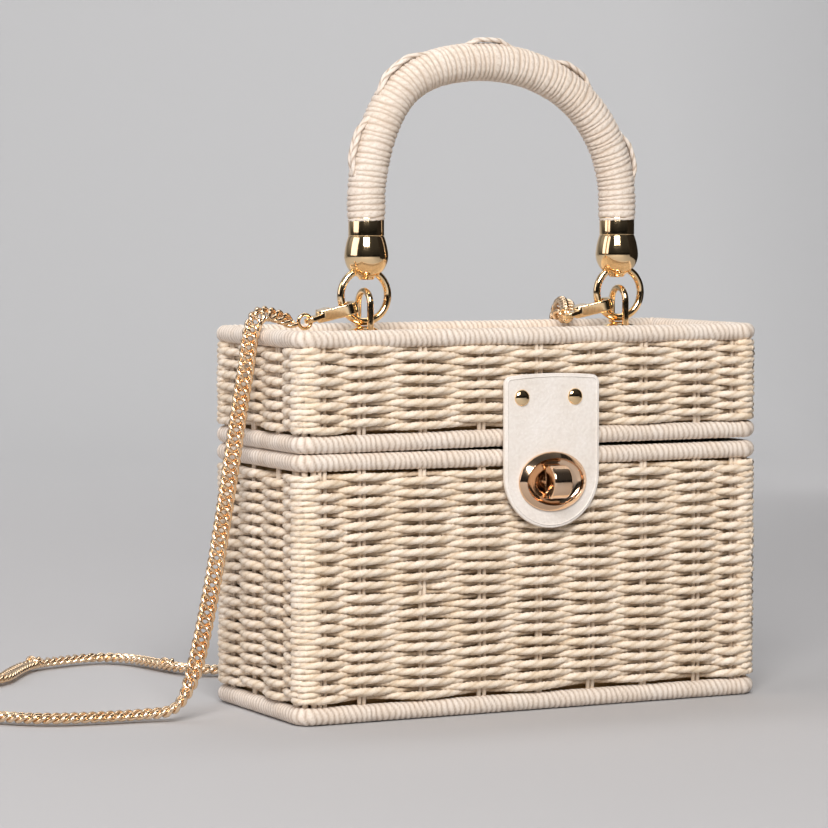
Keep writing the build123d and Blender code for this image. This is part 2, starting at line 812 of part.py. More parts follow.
save("basket_bottom_rim", [rim(rim_radius)])
save("basket_top_rim", [rim(basket_rim_level)])
save("lid_bottom_rim", [rim(lid_rim_level)])
save("lid_top_rim", [rim(top_rim_level)])

lashing_foot = basket_rim_level - rim_radius - lashing_clearance - lashing_thickness - window_side
walls(
    "basket", rim_radius, basket_rim_level, basket_rows, (lashing_foot, basket_rim_level), prong_cuts(prong_clearance)
)
walls(
    "lid", lid_rim_level, top_rim_level, lid_rows, (lid_rim_level, lid_rim_level + window_reach), rivet_holes(0.1)
)
save("basket_bottom_weave", [solid_of(ridged_panel(0.0, floor_thickness, False))])
lid_panel = ridged_panel(panel_under_level, panel_thickness, True)
for side in (-1, 1):
    lid_panel = lid_panel - leg_cuts(side, staple_clearance)
save("lid_top_weave", [solid_of(lid_panel)])

lining_low = floor_thickness + seat_gap
lining_high = lashing_foot - seat_gap
save("basket_lining", [solid_of(lining(lining_low, lining_high, True))])
lid_lining_low = lid_rim_level + window_reach
lid_lining_high = panel_under_level - washer_thickness - seat_gap
save("lid_lining", [solid_of(lining(lid_lining_low, lid_lining_high, False))])
save("hinge_lashing_left", [lashing(-lashing_x)])
save("hinge_lashing_right", [lashing(lashing_x)])

save("lock_tab", [lock_tab()])
save("tab_rivets", [rivet(x) for x in rivet_places()])
save("lock_bezel", [lock_bezel()])
save("lock_backing_plate", [backing_plate()])
save("lock_base_plate", [lock_base()])
save("lock_inner_plate", [inner_lock_plate()])
save("lock_knob", [lock_knob()])

for side, word in ((-1, "left"), (1, "right")):
    save(f"handle_ring_{word}", [ring(side)])
    save(f"staple_{word}", [staple(side)])
    save(f"staple_washer_{word}", [domed_washer(side)])
    save(f"staple_backing_{word}", [backing_washer(side)])
    save(f"handle_ferrule_{word}", [ferrule(side)])
    place = clasp_frame(side)
    save(f"clasp_body_{word}", [solid_of(place * clasp_body())])
    save(f"clasp_lever_{word}", [solid_of(place * clasp_lever())])
    save(f"clasp_jump_ring_{word}", [solid_of(place * jump_ring(side > 0))])
save("handle_grip", [grip()])

strap("strap_left_end", None, left_cut_run)
strap("strap_floor", left_cut_run, low_cut_run)
strap("strap_hinge", low_cut_run, high_cut_run)
strap("strap_right_end", high_cut_run, None)
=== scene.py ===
"""Basket box bag: the visual model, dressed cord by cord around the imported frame."""

import math

import bpy
import numpy as np
from mathutils import Matrix, Vector


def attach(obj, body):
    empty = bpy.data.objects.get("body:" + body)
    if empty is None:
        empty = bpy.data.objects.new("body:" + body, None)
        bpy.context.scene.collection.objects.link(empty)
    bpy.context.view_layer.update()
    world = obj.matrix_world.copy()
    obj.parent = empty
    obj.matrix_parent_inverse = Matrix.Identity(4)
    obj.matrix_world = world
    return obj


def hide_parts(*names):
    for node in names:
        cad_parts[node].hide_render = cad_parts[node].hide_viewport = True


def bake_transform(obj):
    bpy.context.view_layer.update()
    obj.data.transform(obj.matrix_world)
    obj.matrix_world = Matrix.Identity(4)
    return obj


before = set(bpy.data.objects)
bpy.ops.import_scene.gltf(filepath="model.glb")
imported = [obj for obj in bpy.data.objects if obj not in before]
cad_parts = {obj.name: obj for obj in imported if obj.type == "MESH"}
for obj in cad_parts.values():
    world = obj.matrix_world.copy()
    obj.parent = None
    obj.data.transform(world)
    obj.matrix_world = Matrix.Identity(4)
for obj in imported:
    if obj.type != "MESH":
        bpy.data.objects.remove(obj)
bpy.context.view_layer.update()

MM = 0.001
rng = np.random.default_rng(11)

# Body and lid, in millimetres as in the part
BODY_X = 220.0
BODY_Y = 90.0
CORNER = 8.0
RIM_R = 3.7
BASKET_RIM_Z = 107.0
LID_RIM_Z = 115.0
TOP_RIM_Z = 157.4
BASKET_STAKE_ENDS = (5.0, 105.0)
LID_STAKE_ENDS = (117.0, 155.0)
BASKET_PANEL_Z = 2.2
LID_PANEL_Z = 155.5

# Cord lashings of the hinge
HINGE_Y = 41.3
HINGE_Z = (BASKET_RIM_Z + LID_RIM_Z) / 2
LASHING_X = 78.0
LASHING_TURNS = 4
LASHING_PITCH = 2.25
LASHING_REACH = 4.95
LASHING_CORD_R = 1.05

# Handle, rings and staples
SHIFT_X = 2.9
SPAN_X = 60.6
GRIP_START_Z = 205.0
GRIP_SPRING_Z = 213.0
GRIP_R = 8.2
GRIP_PITCH = 2.35
HUMP_RISE = 2.2
HUMP_CORD_R = 1.3
RING_X = 61.6
RING_R = 10.9
RING_WIRE = 3.2
RING_FOOT_Z = 163.0
STAPLE_HALF = 6.0
STAPLE_BEND_Z = 170.0
STAPLE_LEG_Z = (153.4, 160.0)
STAPLE_WIRE_R = 1.4

# Leather tab and lock
TAB_X = 5.5
TAB_TOP_Z = 141.0
TAB_LENGTH = 64.0
TAB_WIDTH = 45.0
TAB_CORNER = 3.4
TAB_BACK_Y = -45.9
TAB_THICKNESS = 2.0
LOCK_Z = 96.6
LOCK_HOLE = (20.0, 13.5)
RIVET_Z = 131.9
RIVET_OFFSETS = (-14.4, 10.8)
RIVET_R = 3.5
RIVET_RISE = 1.7
RIVET_FOOT_Y = -47.85

# Linings
LINING_INSET = 7.8
LINING_CORNER = 2.5
LINING_POINTS = 180

# Weave of the walls, with stakes placed along each wall from its middle
ROW_PITCH = 2.45
ROW_OVERRUN = 1.2
BASKET_LOW, BASKET_ROWS = 8.9, 38
LID_LOW, LID_ROWS = 119.6, 14
CORD_R = 1.62
MID_DEPTH = 3.3
SWING = 1.65
CORNER_BEND = 3.4
RING_STEP = 2.1
TWIST_PITCH = 15.0
FRONT_COLUMNS = (-97.5, -79.9, -51.9, -24.4, 2.5, 27.5, 53.0, 79.4, 98.0)
SIDE_COLUMNS = (-34.5, -18.0, 7.0, 29.5)
END_FADE = 12.0
STACK_LENGTH = 6.0
SLIPPED_ROW = 18
SLIPPED_AT = FRONT_COLUMNS[2] + 1.5
SLIP_DEPTH, SLIP_LENGTH = 1.9, 5.0

# Stakes, corner rods and the flat panels
STAKE_R = 0.92
STAKE_HALF_GAP = 1.05
CORNER_ROD_R = 1.3
CORNER_ROD_DEPTH = 4.4
CORNER_ROD_STEP = 4.6
PANEL_ROWS = 25
PANEL_SWING = 0.6
PANEL_CORD_R = 1.5

# Wound cord of the rims
RIM_PITCH = 2.5
RIM_POINTS = 1316

# Links of the chain strap
LINK_PITCH = 3.8
LINK_LONG, LINK_WIDE, LINK_WIRE = 3.6, 2.9, 0.92


# Materials
def srgb(r, g, b):
    """A colour of 0 to 255 a channel as Blender's linear values."""
    out = []
    for c in (r, g, b):
        c = c / 255.0
        out.append(c / 12.92 if c <= 0.04045 else ((c + 0.055) / 1.055) ** 2.4)
    return (*out, 1.0)


class Nodes:
    """A short way to write a material's node tree."""

    def __init__(self, name):
        self.mat = bpy.data.materials.new(name)
        self.mat.use_nodes = True
        self.tree = self.mat.node_tree
        self.bsdf = self.tree.nodes["Principled BSDF"]

    def add(self, kind, inputs=None, **props):
        node = self.tree.nodes.new(kind)
        for key, value in props.items():
            setattr(node, key, value)
        for key, value in (inputs or {}).items():
            self.put(node, key, value)
        return node

    def put(self, node, key, value):
        socket = node.inputs[key]
        if isinstance(value, bpy.types.NodeSocket):
            self.tree.links.new(value, socket)
        else:
            socket.default_value = value

    def set(self, **values):
        for key, value in values.items():
            self.put(self.bsdf, key.replace("_", " "), value)

    def position(self):
        return self.add("ShaderNodeTexCoord").outputs["Object"]

    def attribute(self, name):
        return self.add("ShaderNodeAttribute", attribute_name=name).outputs["Fac"]

    def noise(self, scale, detail=3.0, rough=0.5):
        node = self.add("ShaderNodeTexNoise", {"Scale": scale, "Detail": detail, "Roughness": rough})
        self.put(node, "Vector", self.position())
        return node.outputs["Fac"]

    def ramp(self, value, stops):
        node = self.add("ShaderNodeValToRGB", {"Fac": value})
        ramp = node.color_ramp
        while len(ramp.elements) < len(stops):
            ramp.elements.new(0.5)
        for element, (place, colour) in zip(ramp.elements, stops):
            element.position = place
            element.color = colour
        return node.outputs["Color"]

    def math(self, operation, a, b):
        return self.add("ShaderNodeMath", {0: a, 1: b}, operation=operation).outputs[0]

    def mix(self, share, a, b, blend="MIX"):
        node = self.add("ShaderNodeMix", data_type="RGBA", blend_type=blend)
        self.put(node, 0, share)
        self.put(node, 6, a)
        self.put(node, 7, b)
        return node.outputs[2]

    def bump(self, height, strength, distance):
        node = self.add("ShaderNodeBump", {"Height": height, "Strength": strength, "Distance": distance})
        return node.outputs["Normal"]


def cord_material(name, light, warm, groove_shade, gap_shade=None):
    """Twisted paper cord: blotches, painted shade in its ply grooves, and painted shade of the gaps where it
    lies far back.
    """
    m = Nodes(name)
    blotch = m.ramp(m.noise(95.0, 4.0), [(0.32, warm), (0.66, light)])
    ply = m.attribute("ply")
    fine = m.noise(1400.0)
    # Painted shade in the ply grooves, toward the groove's darker colour.
    colour = m.mix(m.math("MULTIPLY", ply, 0.7), blotch, groove_shade)
    speck = m.ramp(fine, [(0.30, (0.80, 0.76, 0.68, 1)), (0.55, (1, 1, 1, 1))])
    colour = m.mix(0.55, colour, m.mix(1.0, colour, speck, "MULTIPLY"))
    # Painted shade of the gaps, where the cord lies far behind the face.
    if gap_shade is not None:
        colour = m.mix(m.math("MULTIPLY", m.attribute("shade_share"), 0.88), colour, gap_shade)
    height = m.math("SUBTRACT", m.math("MULTIPLY", fine, 0.35), m.math("MULTIPLY", ply, 0.9))
    m.set(Base_Color=colour, Roughness=0.72, Normal=m.bump(height, 0.55, 0.0004))
    m.set(Sheen_Weight=0.12, Sheen_Roughness=0.5, Specular_IOR_Level=0.25)
    return m.mat


def metal_material(name, high, low, rough):
    """Plated metal with a slight cloud in its colour and smears in its gloss."""
    m = Nodes(name)
    smear = m.noise(700.0, 4.0)
    m.set(
        Base_Color=m.ramp(m.noise(60.0, 2.0), [(0.3, low), (0.7, high)]),
        Metallic=1.0,
        Roughness=m.math("ADD", m.math("MULTIPLY", smear, 0.08), rough),
        Normal=m.bump(smear, 0.02, 0.0002),
    )
    return m.mat


def leather_material():
    """Pale pebbled leather, with painted shade between its pebbles."""
    m = Nodes("pebbled_leather")
    cells = m.add("ShaderNodeTexVoronoi", {"Scale": 900.0, "Randomness": 0.9}, feature="SMOOTH_F1")
    m.put(cells, "Vector", m.position())
    pebble = cells.outputs["Distance"]
    crease = m.noise(180.0, 5.0, rough=0.6)
    height = m.math("ADD", m.math("MULTIPLY", pebble, -1.0), m.math("MULTIPLY", crease, 0.8))
    cloud = m.ramp(m.noise(70.0), [(0.3, srgb(236, 228, 219)), (0.7, srgb(246, 240, 234))])
    # Painted shade: darker toward the edges of each pebble.
    colour = m.mix(m.math("MULTIPLY", pebble, 0.35), cloud, srgb(206, 192, 178))
    m.set(Base_Color=colour, Roughness=0.42, Specular_IOR_Level=0.4, Coat_Weight=0.08, Coat_Roughness=0.3)
    m.set(Normal=m.bump(height, 0.5, 0.00035))
    return m.mat


def lining_material():
    """Plain tan cloth with threads along all three directions."""
    m = Nodes("lining_cloth")
    place = m.position()
    settings = {"Scale": 420.0, "Distortion": 1.0, "Detail": 1.0, "Vector": place}
    waves = [
        m.add("ShaderNodeTexWave", settings, bands_direction=axis).outputs["Fac"] for axis in ("X", "Z", "Y")
    ]
    thread = m.math("ADD", m.math("ADD", waves[0], waves[1]), waves[2])
    cloud = m.ramp(m.noise(30.0, 4.0), [(0.3, srgb(164, 130, 82)), (0.7, srgb(184, 150, 98))])
    weave = m.ramp(m.math("DIVIDE", thread, 3.0), [(0.3, srgb(96, 72, 42)), (0.7, srgb(176, 142, 92))])
    colour = m.mix(0.25, cloud, weave)
    m.set(Base_Color=colour, Roughness=0.85, Sheen_Weight=0.3, Normal=m.bump(thread, 0.25, 0.0003))
    return m.mat


def card_material():
    """Matt, nearly black card."""
    m = Nodes("dark_card")
    dark = srgb(30, 27, 25)
    pale = tuple(c * 1.02 for c in dark[:3]) + (1,)
    tone = m.ramp(m.noise(1.5, 2.0), [(0.3, dark), (0.7, pale)])
    m.set(Base_Color=tone, Roughness=0.9, Specular_IOR_Level=0.2)
    return m.mat


def paper_material():
    """Studio paper, with a painted shadow on the floor at the bag's right and painted light making it paler
    up the back.
    """
    m = Nodes("studio_paper")
    place = m.add("ShaderNodeSeparateXYZ", {0: m.position()})

    def share(axis, start, end):
        limits = {"Value": place.outputs[axis], "From Min": start, "From Max": end}
        return m.add("ShaderNodeMapRange", limits, interpolation_type="SMOOTHSTEP").outputs["Result"]

    # Painted shadow on the floor at the bag's right.
    painted_shadow_share = m.math("MULTIPLY", share("X", 0.05, 0.3), share("Y", 0.9, 0.3))
    tone = m.mix(painted_shadow_share, srgb(187, 186, 187), srgb(176, 175, 176))
    # Painted light: paler up the back.
    tone = m.mix(share("Y", 0.5, 1.8), tone, srgb(192, 192, 193))
    m.set(Base_Color=tone, Roughness=0.8, Specular_IOR_Level=0.2)
    return m.mat


# Painted shade colour of the gaps between the weave's cords.
GAP_SHADE = srgb(168, 138, 100)
# The fourth colour of each cord is the painted shade in its grooves.
weft_cord = cord_material("weft_cord", srgb(253, 239, 222), srgb(243, 224, 199), srgb(210, 184, 152), GAP_SHADE)
stake_cord = cord_material("stake_cord", srgb(252, 240, 226), srgb(244, 228, 208), srgb(190, 164, 132), GAP_SHADE)
rim_cord = cord_material("rim_cord", srgb(244, 233, 222), srgb(237, 222, 207), srgb(150, 120, 92))
grip_cord = cord_material("grip_cord", srgb(241, 230, 219), srgb(233, 219, 205), srgb(168, 138, 108))
gold = metal_material("polished_gold", srgb(255, 226, 182), srgb(250, 216, 166), 0.05)
chain_gold = metal_material("chain_gold", srgb(252, 226, 194), srgb(242, 208, 168), 0.16)
bronze = metal_material("lock_gold", srgb(246, 216, 188), srgb(230, 194, 160), 0.07)
steel = metal_material("plain_steel", srgb(190, 186, 180), srgb(165, 160, 154), 0.3)
leather = leather_material()
lining_cloth = lining_material()


# Objects
def linked(obj):
    """Put an object into the scene."""
    bpy.context.scene.collection.objects.link(obj)
    return obj


def evaluated_mesh(obj):
    """The mesh that a curve or an object with modifiers gives."""
    bpy.context.view_layer.update()
    return bpy.data.meshes.new_from_object(obj.evaluated_get(bpy.context.evaluated_depsgraph_get()))


# Ply marks the grooves, for their bump and painted shade; the other is the share of painted shade of the
# gaps.
CORD_ATTRIBUTES = ("ply", "shade_share")


def mesh_object(name, parts, material):
    """One object from parts of (vertices in mm, quads, {attribute: values})."""
    count = 0
    verts, quads, values = [], [], {key: [] for key in CORD_ATTRIBUTES}
    for part_verts, part_quads, part_values in parts:
        verts.append(part_verts)
        quads.append(part_quads + count)
        count += len(part_verts)
        for key in CORD_ATTRIBUTES:
            values[key].append(part_values.get(key, np.zeros(len(part_verts))))
    verts = np.concatenate(verts) * MM
    quads = np.concatenate(quads).astype(np.int32)
    mesh = bpy.data.meshes.new(name)
    mesh.vertices.add(len(verts))
    mesh.vertices.foreach_set("co", verts.astype(np.float32).ravel())
    mesh.loops.add(quads.size)
    mesh.loops.foreach_set("vertex_index", quads.ravel())
    mesh.polygons.add(len(quads))
    mesh.polygons.foreach_set("loop_start", np.arange(0, quads.size, 4, dtype=np.int32))
    mesh.update(calc_edges=True)
    mesh.validate()
    for key in CORD_ATTRIBUTES:
        layer = mesh.attributes.new(key, "FLOAT", "POINT")
        layer.data.foreach_set("value", np.concatenate(values[key]).astype(np.float32))
    mesh.shade_smooth()
    mesh.materials.append(material)
    return linked(bpy.data.objects.new(name, mesh))


def finish_piece(obj, body, slot, *nodes):
    """Let a piece ride on its body and hide the solids it replaces; slot is not used."""
    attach(obj, body)
    if nodes:
        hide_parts(*nodes)


# Mesh tools
def smoothstep(t):
    t = np.clip(t, 0, 1)
    return t * t * (3 - 2 * t)


def full_turn(count):
    """Evenly spaced angles round a full turn."""
    return np.linspace(0, 2 * np.pi, count, endpoint=False)


def unit(v):
    return v / np.maximum(np.linalg.norm(v, axis=-1, keepdims=True), 1e-9)


def tangents(points, closed):
    if closed:
        return unit(np.roll(points, -1, 0) - np.roll(points, 1, 0))
    return unit(np.gradient(points, axis=0))


def grid(rows, columns, closed_rows):
    """Quads between rings of vertices, each ring closed."""
    last = rows if closed_rows else rows - 1
    i = np.arange(last)[:, None]
    j = np.arange(columns)[None, :]
    a = i * columns + j
    b = i * columns + (j + 1) % columns
    c = ((i + 1) % rows) * columns + (j + 1) % columns
    d = ((i + 1) % rows) * columns + j
    return np.stack([a, b, c, d], -1).reshape(-1, 4)


END_SHRINK = 0.02


def sweep(points, up, across, out, closed=False, attributes=None):
    """A tube along a path, from section coordinates across and out, each (ring, corner).

    Up is each ring's direction for out; an open tube closes at its ends."""
    forward = tangents(points, closed)
    up = unit(up - (up * forward).sum(-1, keepdims=True) * forward)
    side = np.cross(forward, up)
    attributes = attributes or {}
    if not closed:
        points, up, side = (np.concatenate([v[:1], v, v[-1:]]) for v in (points, up, side))
        across, out = (np.concatenate([v[:1] * END_SHRINK, v, v[-1:] * END_SHRINK]) for v in (across, out))
        attributes = {key: np.concatenate([v[:1], v, v[-1:]]) for key, v in attributes.items()}
    verts = points[:, None] + across[..., None] * side[:, None] + out[..., None] * up[:, None]
    rows, columns = across.shape
    flat = {key: v.ravel() for key, v in attributes.items()}
    return verts.reshape(-1, 3), grid(rows, columns, closed), flat


PLY_ANGLES = np.radians([0, 38, 66, 90, 114, 142, 180, 218, 246, 270, 294, 322])
PLY_DIP = np.array([0, 0, 0.45, 1, 0.45, 0, 0, 0, 0.45, 1, 0.45, 0])
PLY_DEPTH = 0.2


def twisted(radius, twist, squeeze=1.0):
    """Section of a cord of two twisted plies: across, out and its ply attribute, ring by ring.

    Twist is the section's angle at each ring, and squeeze flattens it."""
    swell = np.broadcast_to(radius, twist.shape)[:, None] * (1 - PLY_DEPTH * PLY_DIP)[None, :]
    angle = PLY_ANGLES[None, :] + twist[:, None]
    # The ply mask marks the grooves between plies, for their bump and their painted shade.
    ply = np.repeat(PLY_DIP[None, :], len(twist), 0)
    return swell * np.cos(angle), swell * np.sin(angle) * squeeze, {"ply": ply}


def rod(points, radius, sides, up, closed=False):
    """A plain round rod along a path."""
    points = np.asarray(points, float)
    angle = full_turn(sides)
    across = np.tile(radius * np.cos(angle), (len(points), 1))
    out = np.tile(radius * np.sin(angle), (len(points), 1))
    return sweep(points, np.tile(np.array(up, float), (len(points), 1)), across, out, closed)


def shaded_rod(points, radius, sides, up, shade_share):
    """A rod that lies behind the weave: the last argument is how far its colour goes to the painted shade of
    the gaps.
    """
    verts, quads, attributes = rod(points, radius, sides, up)
    attributes["shade_share"] = np.full(len(verts), shade_share)
    return verts, quads, attributes


def lathe(outline, x, sides):
    """A turned form about the vertical axis at x, from (radius, z) pairs."""
    outline = np.array(outline, float)
    angle = full_turn(sides)
    ring_x = x + outline[:, :1] * np.cos(angle)[None, :]
    ring_y = outline[:, :1] * np.sin(angle)[None, :]
    ring_z = np.repeat(outline[:, 1:2], sides, 1)
    verts = np.stack([ring_x, ring_y, ring_z], -1).reshape(-1, 3)
    return verts, grid(len(outline), sides, False)[:, ::-1], {}


def ovals(x, z, loops, sides):
    """A pressed form facing the front from oval loops of (half width, half height, y)."""
    angle = full_turn(sides)
    verts = [
        np.stack([x + wide * np.cos(angle), np.full(sides, y), z + high * np.sin(angle)], -1)
        for wide, high, y in loops
    ]
    return np.concatenate(verts), grid(len(loops), sides, False), {}


# Walls: half length along, half distance out, and the directions along and out
WALLS = {
    "front": (BODY_X / 2, BODY_Y / 2, ((1, 0), (0, -1))),
    "right": (BODY_Y / 2, BODY_X / 2, ((0, 1), (1, 0))),
    "back": (BODY_X / 2, BODY_Y / 2, ((-1, 0), (0, 1))),
    "left": (BODY_Y / 2, BODY_X / 2, ((0, -1), (-1, 0))),
}


def wall_end(wall, depth=MID_DEPTH):
    """Distance along a wall from its middle to the middle of its corner."""
    return WALLS[wall][0] - CORNER + (CORNER - depth) * math.pi / 4


def wall_points(wall, along, depth, z, plane=MID_DEPTH):
    """World points and outward directions at distances along a wall and depths under its face.

    Distances are measured on the plane at the depth given as plane."""
    half_along, half_out, (along_axis, out_axis) = WALLS[wall]
    straight = half_along - CORNER
    along, depth, z = np.broadcast_arrays(*(np.asarray(v, float) for v in (along, depth, z)))
    turn = np.clip(np.abs(along) - straight, 0, None) / (CORNER - plane)
    sign = np.sign(along)

    def placed(u, v, height):
        x = u * along_axis[0] + v * out_axis[0]
        y = u * along_axis[1] + v * out_axis[1]
        return np.stack([x, y, height], -1)

    u = np.where(turn > 0, sign * (straight + (CORNER - depth) * np.sin(turn)), along)
    v = half_out - CORNER + (CORNER - depth) * np.cos(turn)
    return placed(u, v, z), placed(sign * np.sin(turn), np.cos(turn), 0 * z)


def columns_of(wall):
    """Places of a wall's stakes, by distance along it."""
    columns = np.array(FRONT_COLUMNS if wall in ("front", "back") else SIDE_COLUMNS)
    return columns if wall in ("front", "right") else -columns[::-1]


def over_under(columns, row):
    """1 where a row passes outside a stake and -1 where it passes inside."""
    return np.where((np.arange(len(columns)) + row) % 2 == 0, 1.0, -1.0)


def swing_between(along, places, values):
    """Values eased from each place to the next."""
    k = np.clip(np.searchsorted(places, along) - 1, 0, len(places) - 2)
    t = (along - places[k]) / (places[k + 1] - places[k])
    return values[k] + (values[k + 1] - values[k]) * smoothstep((t - 0.5) * 1.2 + 0.5)


def drift(along, z, seed):
    """A slow unevenness of the rows, nearly the same for neighbours."""
    slow = 0.34 * np.sin(along * 0.047 + z * 0.06 + seed)
    return slow + 0.2 * np.sin(along * 0.13 - z * 0.11 + 2.1 * seed)


def weave_wall(name, wall, low, rows):
    """All rows of one wall, each a twisted cord that swings out and in between the stakes."""
    end = wall_end(wall)
    columns = columns_of(wall)
    places = np.concatenate([[-end - 2.0, CORNER_BEND - end], columns, [end - CORNER_BEND, end + 2.0]])
    count = int(round(2 * end / RING_STEP))
    along = np.linspace(-end - ROW_OVERRUN, end + ROW_OVERRUN, count)
    from_end = end - np.abs(along)
    fade = np.clip(from_end / END_FADE, 0, 1)
    stacked = 1 - np.clip(from_end / STACK_LENGTH, 0, 1)
    parts = []
    for row in range(rows):
        row_z = low + (row + 0.5) * ROW_PITCH
        values = np.concatenate([[1.0, 1.0], over_under(columns, row), [1.0, 1.0]])
        swing = swing_between(along, places, values)
        if name == "basket_front_cords" and row == SLIPPED_ROW:
            swing = swing - SLIP_DEPTH * np.exp(-(((along - SLIPPED_AT) / SLIP_LENGTH) ** 2))
        jitter = np.interp(along, places, rng.normal(0, 0.2, len(places)))
        amount = np.interp(along, places, rng.normal(1.0, 0.1, len(places)))
        z = row_z + (drift(along, row_z, len(name)) + jitter) * fade
        depth = MID_DEPTH - SWING * swing * np.clip(amount, 0.8, 1.15)
        points, normals = wall_points(wall, along, depth, z)
        start = rng.uniform(0, 2 * np.pi)
        twist = 2 * np.pi * along / TWIST_PITCH * (1 + 0.06 * math.sin(row)) + start
        uneven = 0.05 * np.interp(along, places, rng.normal(0, 1, len(places)))
        radius = CORD_R * (1 + 0.14 * swing - 0.2 * stacked + uneven)
        across, out, attributes = twisted(radius, twist)
        # Painted shade: the share grows where the cord lies far behind the wall's face.
        attributes["shade_share"] = np.clip((depth[:, None] - out - 2.6) / 2.0, 0, 1)
        parts.append(sweep(points, normals, across, out, False, attributes))
    return mesh_object(name, parts, weft_cord)


def stakes(wall, low, high):
    """A wall's pairs of upright stakes."""
    parts = []
    for place in columns_of(wall):
        for side in (-STAKE_HALF_GAP, STAKE_HALF_GAP):
            foot = place + side + rng.normal(0, 0.12)
            z = np.linspace(low, high, 7)
            along = foot + rng.normal(0, 0.12, len(z))
            points, normals = wall_points(wall, along, MID_DEPTH + 0.5, z)
            # Stakes take a set share of painted shade of the gaps.
            parts.append(shaded_rod(points, STAKE_R, 8, normals[0], 0.34))
    return parts


def corner_rods(name, low, high):
    """Upright rods inside the corners: one in the middle and one to each side of it."""
    z = np.linspace(low, high, 5)
    parts = []
    for wall in WALLS:
        end = wall_end(wall)
        for along in (end, end - CORNER_ROD_STEP, CORNER_ROD_STEP - end):
            points, normals = wall_points(wall, np.full(len(z), along), CORNER_ROD_DEPTH, z)
            # Corner rods take a set share of painted shade of the gaps.
            parts.append(shaded_rod(points, CORNER_ROD_R, 10, normals[0], 0.45))
    return mesh_object(name, parts, stake_cord)


def woven_panel(name, z_mid, facing):
    """A flat weave within a rim, with its better side up (facing 1) or down (facing -1)."""
    columns = np.array(FRONT_COLUMNS)
    end = BODY_X / 2 - 6.8
    half_y = BODY_Y / 2 - 7.4
    places = np.concatenate([[-end], columns, [end]])
    along = np.linspace(-end, end, 78)
    up = np.tile(np.array([0, 0, facing], float), (len(along), 1))
    parts = []
    for row in range(PANEL_ROWS):
        y = half_y * (2 * (row + 0.5) / PANEL_ROWS - 1)
        values = np.concatenate([[0.0], over_under(columns, row), [0.0]])
        height = PANEL_SWING * swing_between(along, places, values)
        wander = np.interp(along, places, rng.normal(0, 0.16, len(places)))
        points = np.stack([along, y + wander, z_mid + facing * height], -1)
        twist = 2 * np.pi * along / TWIST_PITCH + rng.uniform(0, 2 * np.pi)
        across, out, attributes = twisted(PANEL_CORD_R, twist)
        # Painted shade: the share grows where the cord dips under the panel's face.
        attributes["shade_share"] = np.clip((0.3 - height[:, None] - out) / 1.4, 0, 1)
        parts.append(sweep(points, up, across, out, False, attributes))
    for x in columns[1:-1]:
        for side in (-1.0, 1.0):
            line = [(x + side, t * (half_y + 0.6), z_mid) for t in (-1, -0.3, 0.3, 1)]
            # The panel's stakes take a small set share of painted shade of the gaps.
            parts.append(shaded_rod(line, 0.7, 6, (1, 0, 0.01), 0.2))
    return mesh_object(name, parts, weft_cord)


# Wrapped rims
def wrapped_tube(points, up, radius, pitch, starts, closed, sides, groove, rough, plies=0):
    """A tube wound with cord: ridges one pitch wide, slanting by the number of starts.

    Groove is the depth between ridges, rough is how much the cord wanders and varies, and
    plies is how many strands show round the tube."""
    step = np.linalg.norm(np.roll(points, -1, 0) - points, axis=1)
    total = step.sum() if closed else step[:-1].sum()
    run = np.concatenate([[0], np.cumsum(step)[:-1]])
    wraps = int(round(total / pitch))
    angle = full_turn(sides)[None, :]
    turn = (run / total * 2 * np.pi)[:, None]
    uneven = 0.12 * np.sin(23 * turn) + 0.08 * np.sin(41 * turn)
    sway = 0.16 * rough * (np.sin(17 * turn + 2 * angle) + np.sin(37 * turn - 3 * angle))
    phase = (wraps * run / total)[:, None] + uneven + starts * angle / (2 * np.pi) + sway
    dip = (1 - np.abs(np.sin(np.pi * phase))) ** 1.6
    ridges = wraps + 8 + starts
    swell = 1 + rough * rng.normal(0, 1, ridges)[np.floor(phase).astype(int) % ridges]
    strand = 0 * dip
    if plies:
        strand = (1 - np.abs(np.sin(np.pi * phase + 0.5 * plies * angle))) ** 2.5 * (1 - dip)
    r = radius - groove * dip - 0.12 * (1 - np.clip(swell, 0.6, 1.4)) - 0.22 * strand
    # The ply mask marks the grooves between turns, for their bump and their painted shade.
    attributes = {"ply": np.maximum(dip * 0.95, strand * 0.6)}
    return sweep(points, up, r * np.cos(angle), r * np.sin(angle), closed, attributes)


def rim(name, z, lift=None):
    """A wound rim round the body at height z; lift raises it by x."""
    ends = {wall: wall_end(wall, RIM_R) for wall in WALLS}
    points, normals = [], []
    for wall, end in ends.items():
        share = int(round(RIM_POINTS * end / sum(ends.values())))
        along = np.linspace(-end, end, share, endpoint=False)
        wall_line, outward = wall_points(wall, along, RIM_R, z, RIM_R)
        if lift:
            wall_line[:, 2] += lift(wall_line[:, 0])
        points.append(wall_line)
        normals.append(outward)
    points, normals = np.concatenate(points), np.concatenate(normals)
    wound = wrapped_tube(points, normals, RIM_R, RIM_PITCH, 2, closed=True, sides=18, groove=0.42, rough=0.5)
    return mesh_object(name, [wound], rim_cord)


def seam_gap(x):
    """Half of how far the seam between the halves opens from the left end to the right."""
    return 0.62 * smoothstep((x + 96) / 110) - 0.3


